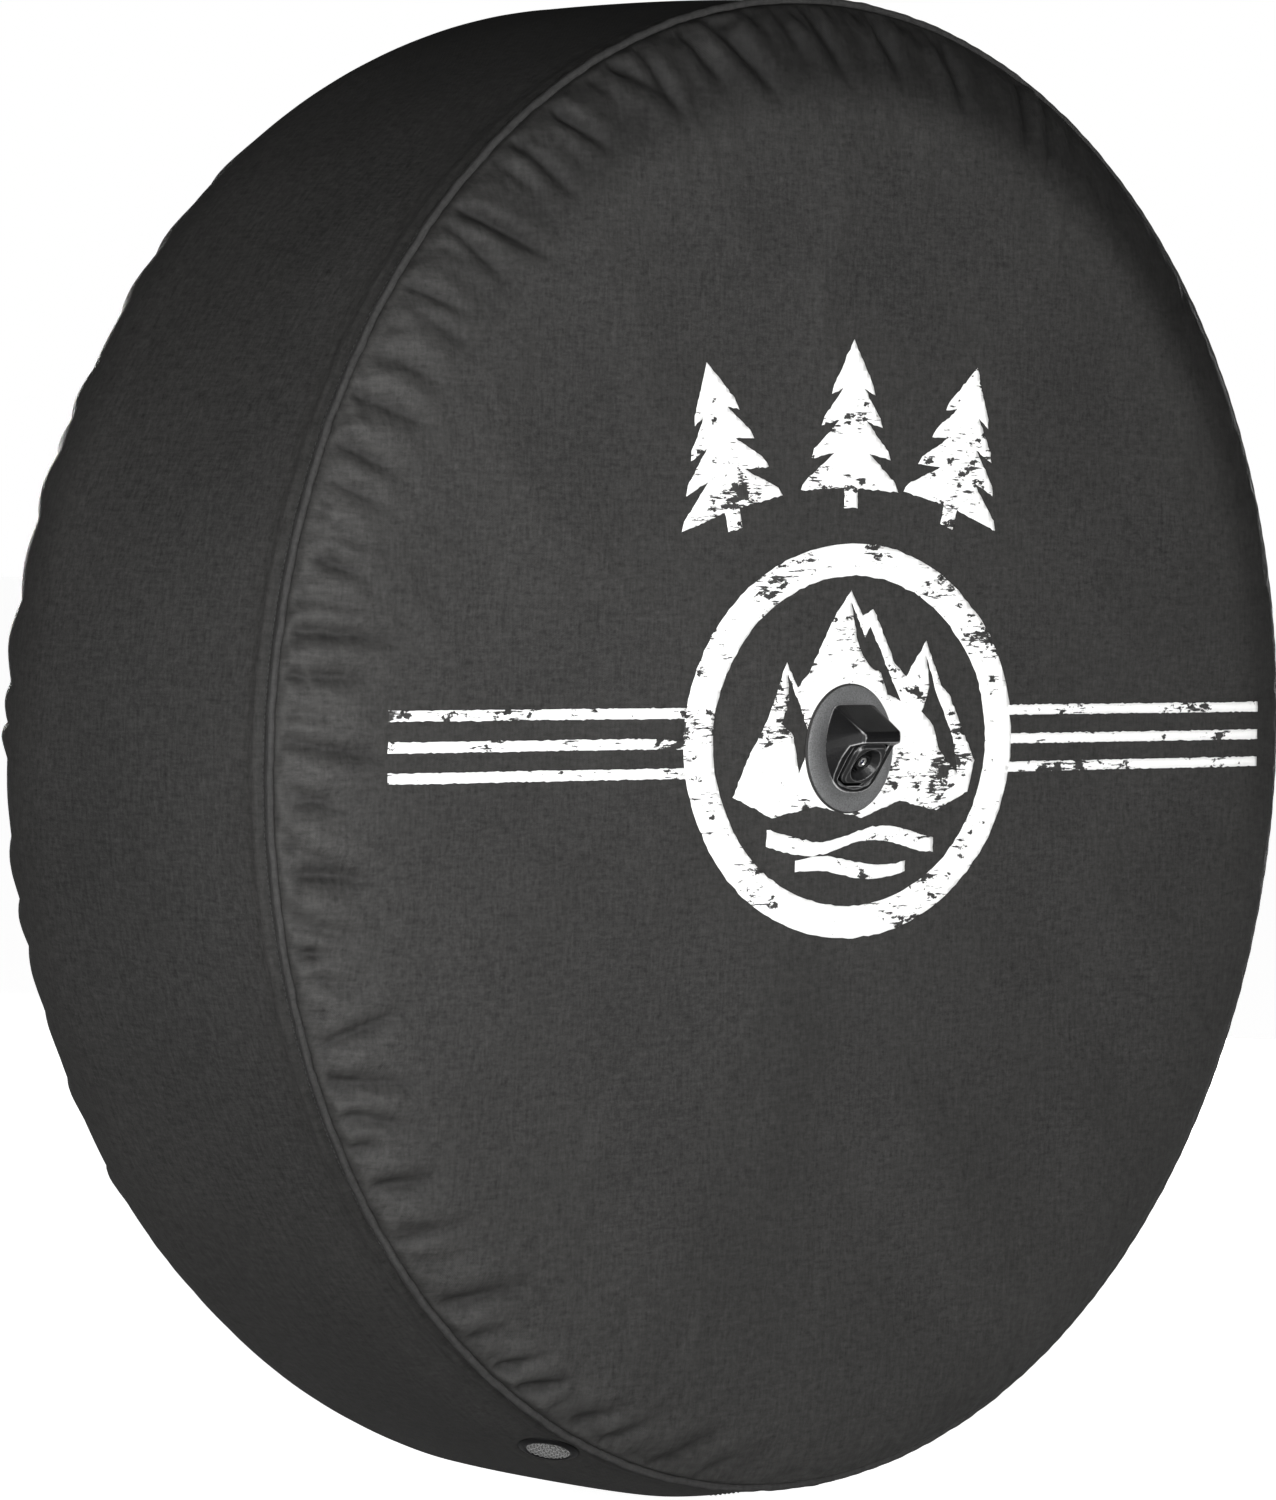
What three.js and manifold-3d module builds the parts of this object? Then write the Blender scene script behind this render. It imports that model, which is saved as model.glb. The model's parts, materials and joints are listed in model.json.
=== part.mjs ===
// A soft spare tire cover with a camera port: the round cover pulls over a spare tire that hangs
// on a vehicle's rear door, and the camera pod on the tire carrier looks out through its face.
// Millimetres. +Z is up, the face looks towards -Y, and the origin is the centre of the tire.
import * as THREE from 'three';
import { ConvexGeometry } from 'three/addons/geometries/ConvexGeometry.js';
import { mergeVertices } from 'three/addons/utils/BufferGeometryUtils.js';
import Module from 'manifold-3d';

const wasm = await Module();
wasm.setup();

// ---------------------------------------------------------------- driving dimensions
const FABRIC = 1.5;              // thickness of the lined canvas
const GAP = 0.3;                 // clearance between pieces that touch

const SEAM_RADIUS = 415;         // stitched edge between the face and the band
const SEAM_Y = -105;
const BAND_RADIUS = 420;         // widest ring of the band, over the tire's tread
const BAND_CROWN = 5;            // how much the band narrows from there to the seam
const SHOULDER_START_Y = 60;     // where the band starts to turn over the rear shoulder
const SHOULDER_END_RADIUS = 352;
const REAR_Y = 142;              // rear sidewall of the tire, under the fabric
const DOME = 26;                 // how far the face stands out from the seam
const RIM_START_RADIUS = 343;    // where the face starts to roll back to the seam

const SAG = 9;                   // how far the band hangs below the tire at the bottom
const SAG_REACH = 50;            // distance behind the seam over which it starts to hang

const DRAIN_ANGLE = 204;         // degrees from the top, turning towards +X
const DRAIN_Y = -77;
const DRAIN_FACET_HALF = 20;     // half the length along Y of the band's facet at the drain
const RING_SEGMENTS = 48;        // facets of every large ring
const HALF_FACET = 180 / RING_SEGMENTS;
const RING_PHASE = THREE.MathUtils.degToRad(DRAIN_ANGLE + HALF_FACET);
const BACK_SEAM_ANGLE = DRAIN_ANGLE - 6 * HALF_FACET;   // where the band's two ends meet

const PIPING_RADIUS = 416.3;     // the bead lies on the seam
const PIPING_Y = -106.5;
const HEM_RADIUS = 287;          // the elastic channel round the rear opening
const HEM_Y = 141;

const PORT_RADIUS = 25.6;        // hole in the middle of the face
const PORT_FACE_Y = -133.6;      // the face rises a little towards the bezel
const BEZEL_RADIUS = 35.4;
const BEZEL_FRONT_Y = -137;
const BEZEL_BACK_Y = -134.7;
const HOOD_REACH = 22.4;         // how far the visor stands out from the bezel
const HOOD_NOSE_HALF = 15.7;
const POD_SEGMENTS = 32;         // facets of the pod's round pieces
const BODY_RADIUS = 24.5;        // camera body behind the bezel
const BODY_WALL = 1.5;
const BODY_REAR_Y = -103;
const PLATE_FRONT_Y = -101.4;
const PLATE_THICKNESS = 4;

const TILT_PIVOT = new THREE.Vector3(0, -141.5, -5.5);
const TILT_DEGREES = 33;         // how far below level the lens looks
const BLOCK_HALF = 13.2;
const BLOCK_DEPTH = 13;
const POCKET_RADIUS = 15.6;      // the block swings inside this round pocket
const POCKET_HALF = 14.2;
const PIN_RADIUS = 1.5;
const BOSS_RADIUS = 3.2;         // the bezel's screw bosses

// ---------------------------------------------------------------- colours and finishes
const finish = (color, roughness, metalness = 0) =>
  new THREE.MeshStandardMaterial({ color, roughness, metalness });
const CANVAS = finish(0x2e2e2d, 0.92);
const BIAS_TAPE = finish(0x333332, 0.85);
const RUBBER = finish(0x1b1b1b, 0.8);
const ELASTIC = finish(0x202020, 0.75);
const GREY_PLASTIC = finish(0x67686a, 0.42);
const DARK_PLASTIC = finish(0x17181a, 0.38);
const STEEL = finish(0xa8abad, 0.35, 1);
const BLACK_METAL = finish(0x242526, 0.45, 0.8);
const SCREEN_MESH = finish(0xb9bab8, 0.6, 0.2);
const GLASS = finish(0x0c1014, 0.05);
const CIRCUIT_BOARD = finish(0x1f4d33, 0.6);
const GOLD = finish(0xc9a24b, 0.35, 1);

// ---------------------------------------------------------------- helpers
const cover = new THREE.Group();
const point = (r, y) => new THREE.Vector2(r, y);
const radians = THREE.MathUtils.degToRad;

// Merge shared vertices and drop the zero-area triangles that a lathe leaves on its axis.
function welded(source) {
  let geometry = source.clone();
  geometry.deleteAttribute('normal');
  geometry.deleteAttribute('uv');
  geometry = mergeVertices(geometry, 1e-4);
  const index = geometry.index.array;
  const kept = [];
  for (let i = 0; i < index.length; i += 3) {
    const [a, b, c] = [index[i], index[i + 1], index[i + 2]];
    if (a !== b && b !== c && c !== a) kept.push(a, b, c);
  }
  geometry.setIndex(kept);
  geometry.computeVertexNormals();
  return geometry;
}

function toSolid(geometry) {
  const mesh = welded(geometry);
  return new wasm.Manifold(new wasm.Mesh({
    numProp: 3,
    vertProperties: Float32Array.from(mesh.attributes.position.array),
    triVerts: Uint32Array.from(mesh.index.array),
  }));
}

function toGeometry(solid) {
  const mesh = solid.getMesh();
  const geometry = new THREE.BufferGeometry();
  geometry.setAttribute('position', new THREE.Float32BufferAttribute(mesh.vertProperties, 3));
  geometry.setIndex(Array.from(mesh.triVerts));
  return welded(geometry);
}

const cut = (geometry, tools) =>
  toGeometry(tools.reduce((solid, tool) => solid.subtract(toSolid(tool)), toSolid(geometry)));
const join = (geometry, others) =>
  toGeometry(others.reduce((solid, other) => solid.add(toSolid(other)), toSolid(geometry)));

function add(name, geometry, material, parent = cover) {
  const mesh = new THREE.Mesh(welded(geometry), material);
  mesh.name = name;
  parent.add(mesh);
  return mesh;
}

// Revolve a closed profile of (radius, y) points about the Y axis. The profile runs with the
// solid on its left. The first helper is for the large rings, which all share their facets.
const revolveRing = (profile) =>
  new THREE.LatheGeometry([...profile, profile[0]], RING_SEGMENTS, RING_PHASE, 2 * Math.PI);
const revolve = (profile, segments = POD_SEGMENTS) =>
  new THREE.LatheGeometry([...profile, profile[0]], segments, 0, 2 * Math.PI);

// A washer or tube between two radii and two y values.
const tubeProfile = (inner, outer, y0, y1) =>
  [point(outer, y0), point(outer, y1), point(inner, y1), point(inner, y0)];

// A solid of revolution that reaches its axis: points run outwards along the front face first.
const turned = (profile, segments) => new THREE.LatheGeometry(profile, segments, 0, 2 * Math.PI);
const rodProfile = (radius, y0, y1) =>
  [point(0, y0), point(radius, y0), point(radius, y1), point(0, y1)];

// Shift a line of (radius, y) points towards the inside, which is on its left.
function shiftedInwards(line, distance) {
  return line.map((p, i) => {
    const before = line[Math.max(i - 1, 0)];
    const after = line[Math.min(i + 1, line.length - 1)];
    const along = after.clone().sub(before).normalize();
    return point(p.x - along.y * distance, p.y + along.x * distance);
  });
}

// The closed outline of a sheet whose outer face follows the line.
const sheetProfile = (line, thickness) =>
  [...line, ...shiftedInwards(line, thickness).reverse()];

// An open C-shaped section: a channel with a slit, centred on openingDegrees.
function channelProfile(centre, outerRadius, wall, openingDegrees, slitDegrees, steps) {
  const start = openingDegrees + slitDegrees / 2;
  const sweep = 360 - slitDegrees;
  const arc = (radius) => Array.from({ length: steps + 1 }, (_, i) => {
    const angle = radians(start + (sweep * i) / steps);
    return point(centre.x + radius * Math.cos(angle), centre.y + radius * Math.sin(angle));
  });
  return [...arc(outerRadius), ...arc(outerRadius - wall).reverse()];
}

function circleProfile(centre, radius, steps) {
  return Array.from({ length: steps }, (_, i) => {
    const angle = (2 * Math.PI * i) / steps;
    return point(centre.x + radius * Math.cos(angle), centre.y + radius * Math.sin(angle));
  });
}

// A box given by its lowest and highest corners.
function boxBetween(low, high) {
  const size = high.map((value, axis) => value - low[axis]);
  const centre = high.map((value, axis) => (value + low[axis]) / 2);
  return new THREE.BoxGeometry(...size).translate(...centre);
}

// A rod along Y, for drilling: x and z place its axis.
const drill = (x, z, radius, y0, y1) =>
  new THREE.CylinderGeometry(radius, radius, y1 - y0, 8).translate(x, (y0 + y1) / 2, z);

// A rod along X about the tilt pivot, between two x values.
const pivotRod = (radius, x0, x1, segments) =>
  new THREE.CylinderGeometry(radius, radius, x1 - x0, segments)
    .rotateZ(Math.PI / 2)
    .translate((x0 + x1) / 2, TILT_PIVOT.y, TILT_PIVOT.z);

// The positions of count fasteners on a circle about the Y axis.
const fastenerPlaces = (count, radius, firstDegrees) =>
  Array.from({ length: count }, (_, i) => {
    const angle = radians(firstDegrees + (360 * i) / count);
    return { x: radius * Math.sin(angle), z: radius * Math.cos(angle) };
  });

// A pan-head screw with a socket, along Y: the head's underside is at y 0, the tip at -length.
function screw(radius, length, headRadius, headHeight) {
  return turned([
    point(0, -length),
    point(radius, -length),
    point(radius, 0),
    point(headRadius, 0),
    point(headRadius, headHeight * 0.6),
    point(headRadius * 0.75, headHeight),
    point(radius * 0.8, headHeight),
    point(radius * 0.8, headHeight * 0.4),
    point(0, headHeight * 0.4),
  ], 10);
}

// Turns what is drawn in X and Y and extruded along Z into the same drawn in Y and Z, along X.
const DRAWN_IN_YZ = new THREE.Matrix4().makeBasis(
  new THREE.Vector3(0, 1, 0),
  new THREE.Vector3(0, 0, 1),
  new THREE.Vector3(1, 0, 0),
);

function roundedSquare(half, radius) {
  const side = half - radius;
  const shape = new THREE.Shape();
  shape.moveTo(half, -side);
  shape.absarc(side, side, radius, 0, Math.PI / 2, false);
  shape.absarc(-side, side, radius, Math.PI / 2, Math.PI, false);
  shape.absarc(-side, -side, radius, Math.PI, 1.5 * Math.PI, false);
  shape.absarc(side, -side, radius, 1.5 * Math.PI, 2 * Math.PI, false);
  return shape;
}

// ---------------------------------------------------------------- the fabric cover
// The face's outer line: almost flat, then rolled back towards the seam.
const faceY = (r) => {
  const rolled = Math.max(0, (r - RIM_START_RADIUS) / (SEAM_RADIUS - RIM_START_RADIUS));
  return SEAM_Y - DOME * Math.sqrt(1 - rolled ** 2);
};

function facePanel() {
  const rim = [RIM_START_RADIUS, 366, 384, 397, 406, 411, 413.4];
  const outer = [
    point(PORT_RADIUS, PORT_FACE_Y),
    point(BEZEL_RADIUS + 15, PORT_FACE_Y + 0.1),
    point(120, PORT_FACE_Y + 1.4),
    point(200, faceY(200)),
    ...rim.map((r) => point(r, faceY(r))),
  ];
  return cut(revolveRing(sheetProfile(outer, FABRIC)), bossHoles());
}

// The band's outer line: slightly barrelled over the tread, an elliptical shoulder, then flat
// down the rear sidewall to the hem.
const barrelRadius = (y) => BAND_RADIUS - BAND_CROWN * (y / SEAM_Y) ** 2;

function bandOutline() {
  const drainRows = [DRAIN_Y - DRAIN_FACET_HALF, DRAIN_Y + DRAIN_FACET_HALF];
  const tread = [SEAM_Y + 1, ...drainRows, 10, SHOULDER_START_Y];
  const shoulderWidth = barrelRadius(SHOULDER_START_Y) - SHOULDER_END_RADIUS;
  const shoulderDepth = REAR_Y - SHOULDER_START_Y;
  const shoulder = [22, 45, 67, 90].map((degrees) => point(
    SHOULDER_END_RADIUS + shoulderWidth * Math.cos(radians(degrees)),
    SHOULDER_START_Y + shoulderDepth * Math.sin(radians(degrees)),
  ));
  return [
    ...tread.map((y) => point(barrelRadius(y), y)),
    ...shoulder,
    point(HEM_RADIUS + 6.6, REAR_Y + 1),
  ];
}

// How far the loose band hangs down at a point: most at the bottom, nothing at the seam and
// over the rear shoulder.
function sagAt(x, y, z) {
  const bottom = Math.max(0, -z / Math.hypot(x, z)) ** 2;
  const behindSeam = THREE.MathUtils.smoothstep(y, SEAM_Y, SEAM_Y + SAG_REACH);
  const beforeRear = 1 - THREE.MathUtils.smoothstep(y, SHOULDER_START_Y, REAR_Y);
  return SAG * bottom * behindSeam * beforeRear;
}

function sagged(geometry) {
  const position = geometry.attributes.position;
  for (let i = 0; i < position.count; i += 1) {
    const [x, y, z] = [position.getX(i), position.getY(i), position.getZ(i)];
    position.setZ(i, z - sagAt(x, y, z));
  }
  return geometry;
}

function sideBand() {
  const hole = new THREE.CylinderGeometry(12.9, 12.9, 12, 16);
  return cut(sagged(revolveRing(sheetProfile(bandOutline(), FABRIC))), [placeOnDrain(hole)]);
}

// A strip of fabric 25 mm wide along the inside of the band, where its two ends are sewn.
function bandJoinStrip() {
  const width = 25;
  const facet = Math.cos(radians(HALF_FACET));
  const inside = shiftedInwards(bandOutline().slice(0, -1), FABRIC + GAP + 0.2);
  inside.forEach((p) => p.setX(p.x * facet));
  inside[0].y += 4;
  const shape = new THREE.Shape(sheetProfile(inside, 1));
  const strip = new THREE.ExtrudeGeometry(shape, { depth: width, bevelEnabled: false });
  strip.translate(0, 0, -width / 2);
  return sagged(strip.rotateY(radians(BACK_SEAM_ANGLE - 90)));
}

function addCover() {
  const piping = point(PIPING_RADIUS, PIPING_Y);
  const hem = point(HEM_RADIUS, HEM_Y);
  add('face_panel', facePanel(), CANVAS);
  add('side_band', sideBand(), CANVAS);
  add('band_join_strip', bandJoinStrip(), BIAS_TAPE);
  add('piping_sleeve', revolveRing(channelProfile(piping, 2.2, 0.5, 180, 60, 6)), BIAS_TAPE);
  add('piping_core', revolveRing(circleProfile(piping, 1.3, 6)), ELASTIC);
  add('inner_seam_tape', revolveRing(tubeProfile(400, 412.4, -104.9, -103.2)), BIAS_TAPE);
  add('rear_hem', revolveRing(channelProfile(hem, 6, 1.2, -90, 40, 8)), CANVAS);
  add('elastic_cord', revolveRing(circleProfile(hem, 3, 6)), ELASTIC);
  addCrimp();
  const binding = tubeProfile(25.2, 34.6, PORT_FACE_Y + 1.8, PORT_FACE_Y + 2.7);
  add('port_binding', cut(revolve(binding), bossHoles()), BIAS_TAPE);
}

// The metal sleeve that joins the ends of the elastic, along one straight facet of the ring.
function addCrimp() {
  const length = 16;
  const seat = new THREE.Group();
  seat.rotation.y = radians(BACK_SEAM_ANGLE - 90);
  const radius = HEM_RADIUS * Math.cos(radians(HALF_FACET));
  const sleeve = revolve(tubeProfile(3.5, 4.2, -length / 2, length / 2), 12);
  sleeve.rotateX(Math.PI / 2);
  sleeve.translate(radius, HEM_Y, 0);
  cover.add(seat);
  add('elastic_crimp', sleeve, STEEL, seat);
}

// ---------------------------------------------------------------- drain eyelet in the band
// Move a piece made along +Y to the band's facet at the drain, with +Y pointing out of it.
function placeOnDrain(geometry) {
  const corner = (side, end) => {
    const y = DRAIN_Y + end * DRAIN_FACET_HALF;
    const angle = radians(DRAIN_ANGLE + side * HALF_FACET);
    const [x, z] = [barrelRadius(y) * Math.sin(angle), barrelRadius(y) * Math.cos(angle)];
    return new THREE.Vector3(x, y, z - sagAt(x, y, z));
  };
  const corners = [corner(-1, -1), corner(1, -1), corner(1, 1), corner(-1, 1)];
  const place = corners.reduce((sum, p) => sum.add(p), new THREE.Vector3()).divideScalar(4);
  const outward = corners[2].clone().sub(corners[0])
    .cross(corners[3].clone().sub(corners[1]))
    .normalize();
  const turn = new THREE.Quaternion().setFromUnitVectors(new THREE.Vector3(0, 1, 0), outward);
  return geometry.clone().applyMatrix4(
    new THREE.Matrix4().compose(place, turn, new THREE.Vector3(1, 1, 1)),
  );
}

function addDrain() {
  const outer = 18;
  const throat = 12;
  const lift = 2 * GAP;
  const eyelet = revolve([
    point(throat - 1.1, lift + 1.3),
    point(throat - 1.1, -FABRIC - 3.2),
    point(throat + 0.2, -FABRIC - 3.2),
    point(throat + 0.2, lift),
    point(outer, lift),
    point(outer - 0.6, lift + 1.1),
    point((outer + throat) / 2, lift + 1.9),
  ], 20);
  const washer = revolve(tubeProfile(throat + 0.7, 17, -FABRIC - lift - 1.1, -FABRIC - lift), 20);
  const holes = [{ x: 0, z: 0 }, ...fastenerPlaces(6, 6.4, 0)].map(({ x, z }) =>
    new THREE.CylinderGeometry(2, 2, 4, 6).translate(x, -1, z));
  const screen = cut(turned(rodProfile(throat - 1.5, -1.4, -0.8), 20), holes);
  add('drain_eyelet', placeOnDrain(eyelet), BLACK_METAL);
  add('drain_washer', placeOnDrain(washer), BLACK_METAL);
  add('drain_mesh', placeOnDrain(screen), SCREEN_MESH);
}

// ---------------------------------------------------------------- camera pod: outer shells
const clampPlaces = fastenerPlaces(4, 30, 45);
const bodyScrewPlaces = fastenerPlaces(4, 27.9, 45);

// Holes for the bezel's bosses, and for the screws that go into them.
const bossHoles = () => clampPlaces.map(({ x, z }) => drill(x, z, BOSS_RADIUS + 0.7, -140, -120));
const clampHoles = (from) => clampPlaces.map(({ x, z }) => drill(x, z, 1.95, from, -120));

// The barrel-shaped pocket that the lens block swings in, turned about the tilt axis.
function pocket() {
  const side = [[0, POCKET_HALF], [11.6, POCKET_HALF], [13.7, 13], [15, 11], [POCKET_RADIUS, 8]];
  const profile = [
    ...side.map(([r, x]) => point(r, -x)),
    ...side.map(([r, x]) => point(r, x)).reverse(),
  ];
  return turned(profile, 36)
    .rotateZ(-Math.PI / 2)
    .translate(0, TILT_PIVOT.y, TILT_PIVOT.z);
}

function bezel() {
  const disc = turned([
    point(0, BEZEL_FRONT_Y),
    point(BEZEL_RADIUS - 1.6, BEZEL_FRONT_Y),
    point(BEZEL_RADIUS - 1.2, BEZEL_FRONT_Y - 0.3),
    point(BEZEL_RADIUS - 0.6, BEZEL_FRONT_Y - 0.3),
    point(BEZEL_RADIUS, BEZEL_FRONT_Y + 0.5),
    point(BEZEL_RADIUS, BEZEL_BACK_Y),
    point(0, BEZEL_BACK_Y),
  ], 64);
  const bosses = clampPlaces.map(({ x, z }) =>
    drill(x, z, BOSS_RADIUS, BEZEL_BACK_Y - 0.5, BEZEL_BACK_Y + 3.5));
  return cut(join(disc, bosses), [pocket(), ...clampHoles(BEZEL_FRONT_Y + 1)]);
}

// The visor: a shield-shaped base drawn out to a straight rounded nose. The underside is cut
// away in front of the lens block, and each cheek has a bore for a trunnion pin.
function hood() {
  const base = BEZEL_FRONT_Y - GAP;
  const half = [[0, 24.8], [14, 24.5], [18.5, 21.5], [23, 10], [24.3, 0], [22, -10], [16.5, -19.5],
    [9, -23.8], [0, -24.8]];
  const rightSide = new THREE.SplineCurve(half.map(([x, z]) => point(x, z))).getPoints(20);
  const nose = [[18.8, 11.6], [20.9, 10.3], [22, 8.8], [HOOD_REACH, 7], [HOOD_REACH - 0.6, 4.2]];
  const corners = [-1, 1].flatMap((sign) => [
    ...rightSide.flatMap((p) => [
      new THREE.Vector3(sign * p.x, base, p.y),
      new THREE.Vector3(sign * p.x, base - 0.8, p.y),
    ]),
    ...nose.flatMap(([reach, z]) => [
      new THREE.Vector3(sign * HOOD_NOSE_HALF, base - Math.min(reach, HOOD_REACH - 1.6), z),
      new THREE.Vector3(sign * (HOOD_NOSE_HALF - 1.4), base - reach, z),
    ]),
  ]);

  const under = [[-30, 4.2], [-HOOD_REACH + 0.6, 4.2], [-14, 2.1], [-8.7, -4.6], [-3.1, -13.8],
    [-1.3, -17.5], [-1.3, -30], [-30, -30]];
  const undercut = new THREE.ExtrudeGeometry(
    new THREE.Shape(under.map(([y, z]) => point(y, z))),
    { depth: 60, bevelEnabled: false },
  );
  undercut.applyMatrix4(DRAWN_IN_YZ).translate(-30, base, 0);

  const bores = [-1, 1].map((sign) => {
    const ends = [sign * 11, sign * 19.8].sort((a, b) => a - b);
    return pivotRod(PIN_RADIUS + 0.35, ...ends, 10);
  });
  return cut(new ConvexGeometry(corners), [undercut, pocket(), ...bores]);
}

// The camera body: a tube with a rear flange, and a hole below for the cable socket's neck.
function cameraBody() {
  const inner = BODY_RADIUS - BODY_WALL;
  const front = BEZEL_BACK_Y + GAP;
  const tube = revolve([
    point(BODY_RADIUS, front),
    point(BODY_RADIUS, BODY_REAR_Y - 3.3),
    point(31.6, BODY_REAR_Y - 3.3),
    point(31.6, BODY_REAR_Y),
    point(inner, BODY_REAR_Y),
    point(inner, front),
  ]);
  const screwHoles = bodyScrewPlaces.map(({ x, z }) => drill(x, z, 1.95, -107, -102));
  const neckHole = boxBetween([-5, -120.6, -30], [5, -112.4, -20]);
  return cut(tube, [neckHole, ...screwHoles]);
}

// The flat plate that bolts to the tire carrier, with a hole near each corner.
function mountPlate() {
  const shape = roundedSquare(40, 6);
  for (const [x, z] of [[30, 30], [-30, 30], [-30, -30], [30, -30]]) {
    const hole = new THREE.Path();
    hole.absarc(x, z, 3.25, 0, 2 * Math.PI, true);
    shape.holes.push(hole);
  }
  const plate = new THREE.ExtrudeGeometry(shape, {
    depth: PLATE_THICKNESS,
    bevelEnabled: false,
    curveSegments: 6,
  });
  plate.rotateX(-Math.PI / 2).translate(0, PLATE_FRONT_Y, 0);
  const screwHoles = bodyScrewPlaces.map(({ x, z }) => drill(x, z, 1.95, -103, -99));
  return cut(plate, screwHoles);
}

function addPodShells() {
  const gasket = tubeProfile(25.2, 34.8, BEZEL_BACK_Y + GAP, PORT_FACE_Y - GAP);
  const ringY = PORT_FACE_Y + 3;
  add('port_gasket', cut(revolve(gasket, 64), bossHoles()), RUBBER);
  add('camera_bezel', bezel(), GREY_PLASTIC);
  add('camera_hood', hood(), DARK_PLASTIC);
  add('retaining_ring', cut(revolve(tubeProfile(25.2, 36.5, ringY, ringY + 2.5)), clampHoles(-140)),
    DARK_PLASTIC);
  add('camera_body', cameraBody(), DARK_PLASTIC);
  add('rear_seal', revolve(tubeProfile(22.4, 25.4, -102.7, -101.7)), RUBBER);
  add('mount_plate', mountPlate(), BLACK_METAL);
  clampPlaces.forEach(({ x, z }, i) => {
    const fastener = screw(PIN_RADIUS, 7.8, 2.9, 2.2).translate(x, ringY + 2.5 + GAP, z);
    add(`clamp_screw_${i + 1}`, fastener, STEEL);
  });
  bodyScrewPlaces.forEach(({ x, z }, i) => {
    const fastener = screw(PIN_RADIUS, 7, 2.9, 2.2).rotateX(Math.PI).translate(x, -106.6, z);
    add(`body_screw_${i + 1}`, fastener, STEEL);
  });
}

// ---------------------------------------------------------------- camera pod: electronics
function addElectronics() {
  add('main_board', turned(rodProfile(19.5, -111.6, -110), POD_SEGMENTS), CIRCUIT_BOARD);
  const shell = boxBetween([-7, -122.5, -36.5], [7, -110.5, -24.9]);
  const neck = boxBetween([-4.6, -120.2, -25.2], [4.6, -112.8, -20.5]);
  const cavity = boxBetween([-5.6, -121.1, -40], [5.6, -111.9, -26.4]);
  add('cable_socket', cut(join(shell, [neck]), [cavity]), DARK_PLASTIC);
  [-3, -1, 1, 3].forEach((x, i) => {
    const pin = boxBetween([x - 0.35, -116.9, -30.2], [x + 0.35, -116.2, -26.7]);
    add(`socket_pin_${i + 1}`, pin, GOLD);
  });
}

// ---------------------------------------------------------------- camera pod: tilting module
// Modelled about the pivot, looking along -Y, and turned down as one.
function addCameraModule() {
  const module = new THREE.Group();
  module.position.copy(TILT_PIVOT);
  module.rotation.x = radians(TILT_DEGREES);
  cover.add(module);

  const front = -BLOCK_DEPTH / 2;
  add('lens_block', lensBlock(front), DARK_PLASTIC, module);
  add('lens_trim_ring', revolve([
    point(6.6, front + 4.2),
    point(6.6, front + 5.6),
    point(5.6, front + 5.6),
    point(5.6, front + 3.4),
    point(6.2, front + 3.1),
  ], 32), STEEL, module);
  add('lens_barrel', revolve([
    point(4.4, front + 2.2),
    point(5.2, front + 2.6),
    point(5.2, front + 9.8),
    point(3.7, front + 9.8),
    point(3.7, front + 2.6),
  ], 32), DARK_PLASTIC, module);
  add('lens_retainer', revolve([
    point(3.3, front + 3.4),
    point(3.3, front + 4),
    point(1.5, front + 4),
    point(1.5, front + 3.5),
    point(2.6, front + 2.8),
  ], 24), STEEL, module);
  add('lens_glass', turned([
    point(0, front + 3),
    point(0.7, front + 3.15),
    point(1.2, front + 3.6),
    point(1.2, front + 4.3),
    point(3.2, front + 4.3),
    point(3.2, front + 5.4),
    point(0, front + 5.4),
  ], 20), GLASS, module);
  add('image_sensor', boxBetween([-2.4, front + 10.4, -2.4], [2.4, front + 11.6, 2.4]),
    DARK_PLASTIC, module);
  add('sensor_board', boxBetween([-8, front + 13.4, -8], [8, front + 14.6, 8]),
    CIRCUIT_BOARD, module);
  for (const [side, sign] of [['left', -1], ['right', 1]]) {
    const pin = new THREE.CylinderGeometry(PIN_RADIUS, PIN_RADIUS, 9.7, 10);
    pin.rotateZ(Math.PI / 2).translate(sign * 14.65, 0, 0);
    add(`trunnion_pin_${side}`, pin, STEEL, module);
  }
}

// A square block with round corners and a bevelled face, a round dish for the lens, a bore
// through it and a blind hole in each side for its trunnion pin.
function lensBlock(front) {
  const bevel = 1.6;
  const block = new THREE.ExtrudeGeometry(roundedSquare(BLOCK_HALF - bevel, 5), {
    depth: BLOCK_DEPTH - bevel,
    bevelSize: bevel,
    bevelThickness: bevel,
    bevelSegments: 1,
    curveSegments: 4,
  });
  block.rotateX(Math.PI / 2).translate(0, front + BLOCK_DEPTH, 0);
  const back = boxBetween([-20, front + BLOCK_DEPTH, -20], [20, front + BLOCK_DEPTH + 5, 20]);
  const dish = turned([
    point(0, front - 1),
    point(11.2, front - 1),
    point(10.4, front + 0.6),
    point(7.5, front + 5),
    point(7.5, front + 6),
    point(0, front + 6),
  ], 24);
  const bore = turned(rodProfile(5.5, front + 5, front + BLOCK_DEPTH + 1), 24);
  const pinHoles = [-1, 1].map((sign) =>
    new THREE.CylinderGeometry(1.85, 1.85, 5, 10).rotateZ(Math.PI / 2).translate(sign * 12, 0, 0));
  return cut(block, [back, dish, bore, ...pinHoles]);
}

addCover();
addDrain();
addPodShells();
addElectronics();
addCameraModule();

export default cover;
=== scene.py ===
# The looks of a spare tire cover with a camera port: worn black canvas, piped and gathered, a
# white screen print, a drain eyelet and a moulded camera pod. Metres, +Z up, face towards -Y.
import json
import math
import random

import bpy
import numpy as np
from mathutils import Matrix, Vector
from mathutils.bvhtree import BVHTree
from mathutils.geometry import delaunay_2d_cdt


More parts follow.
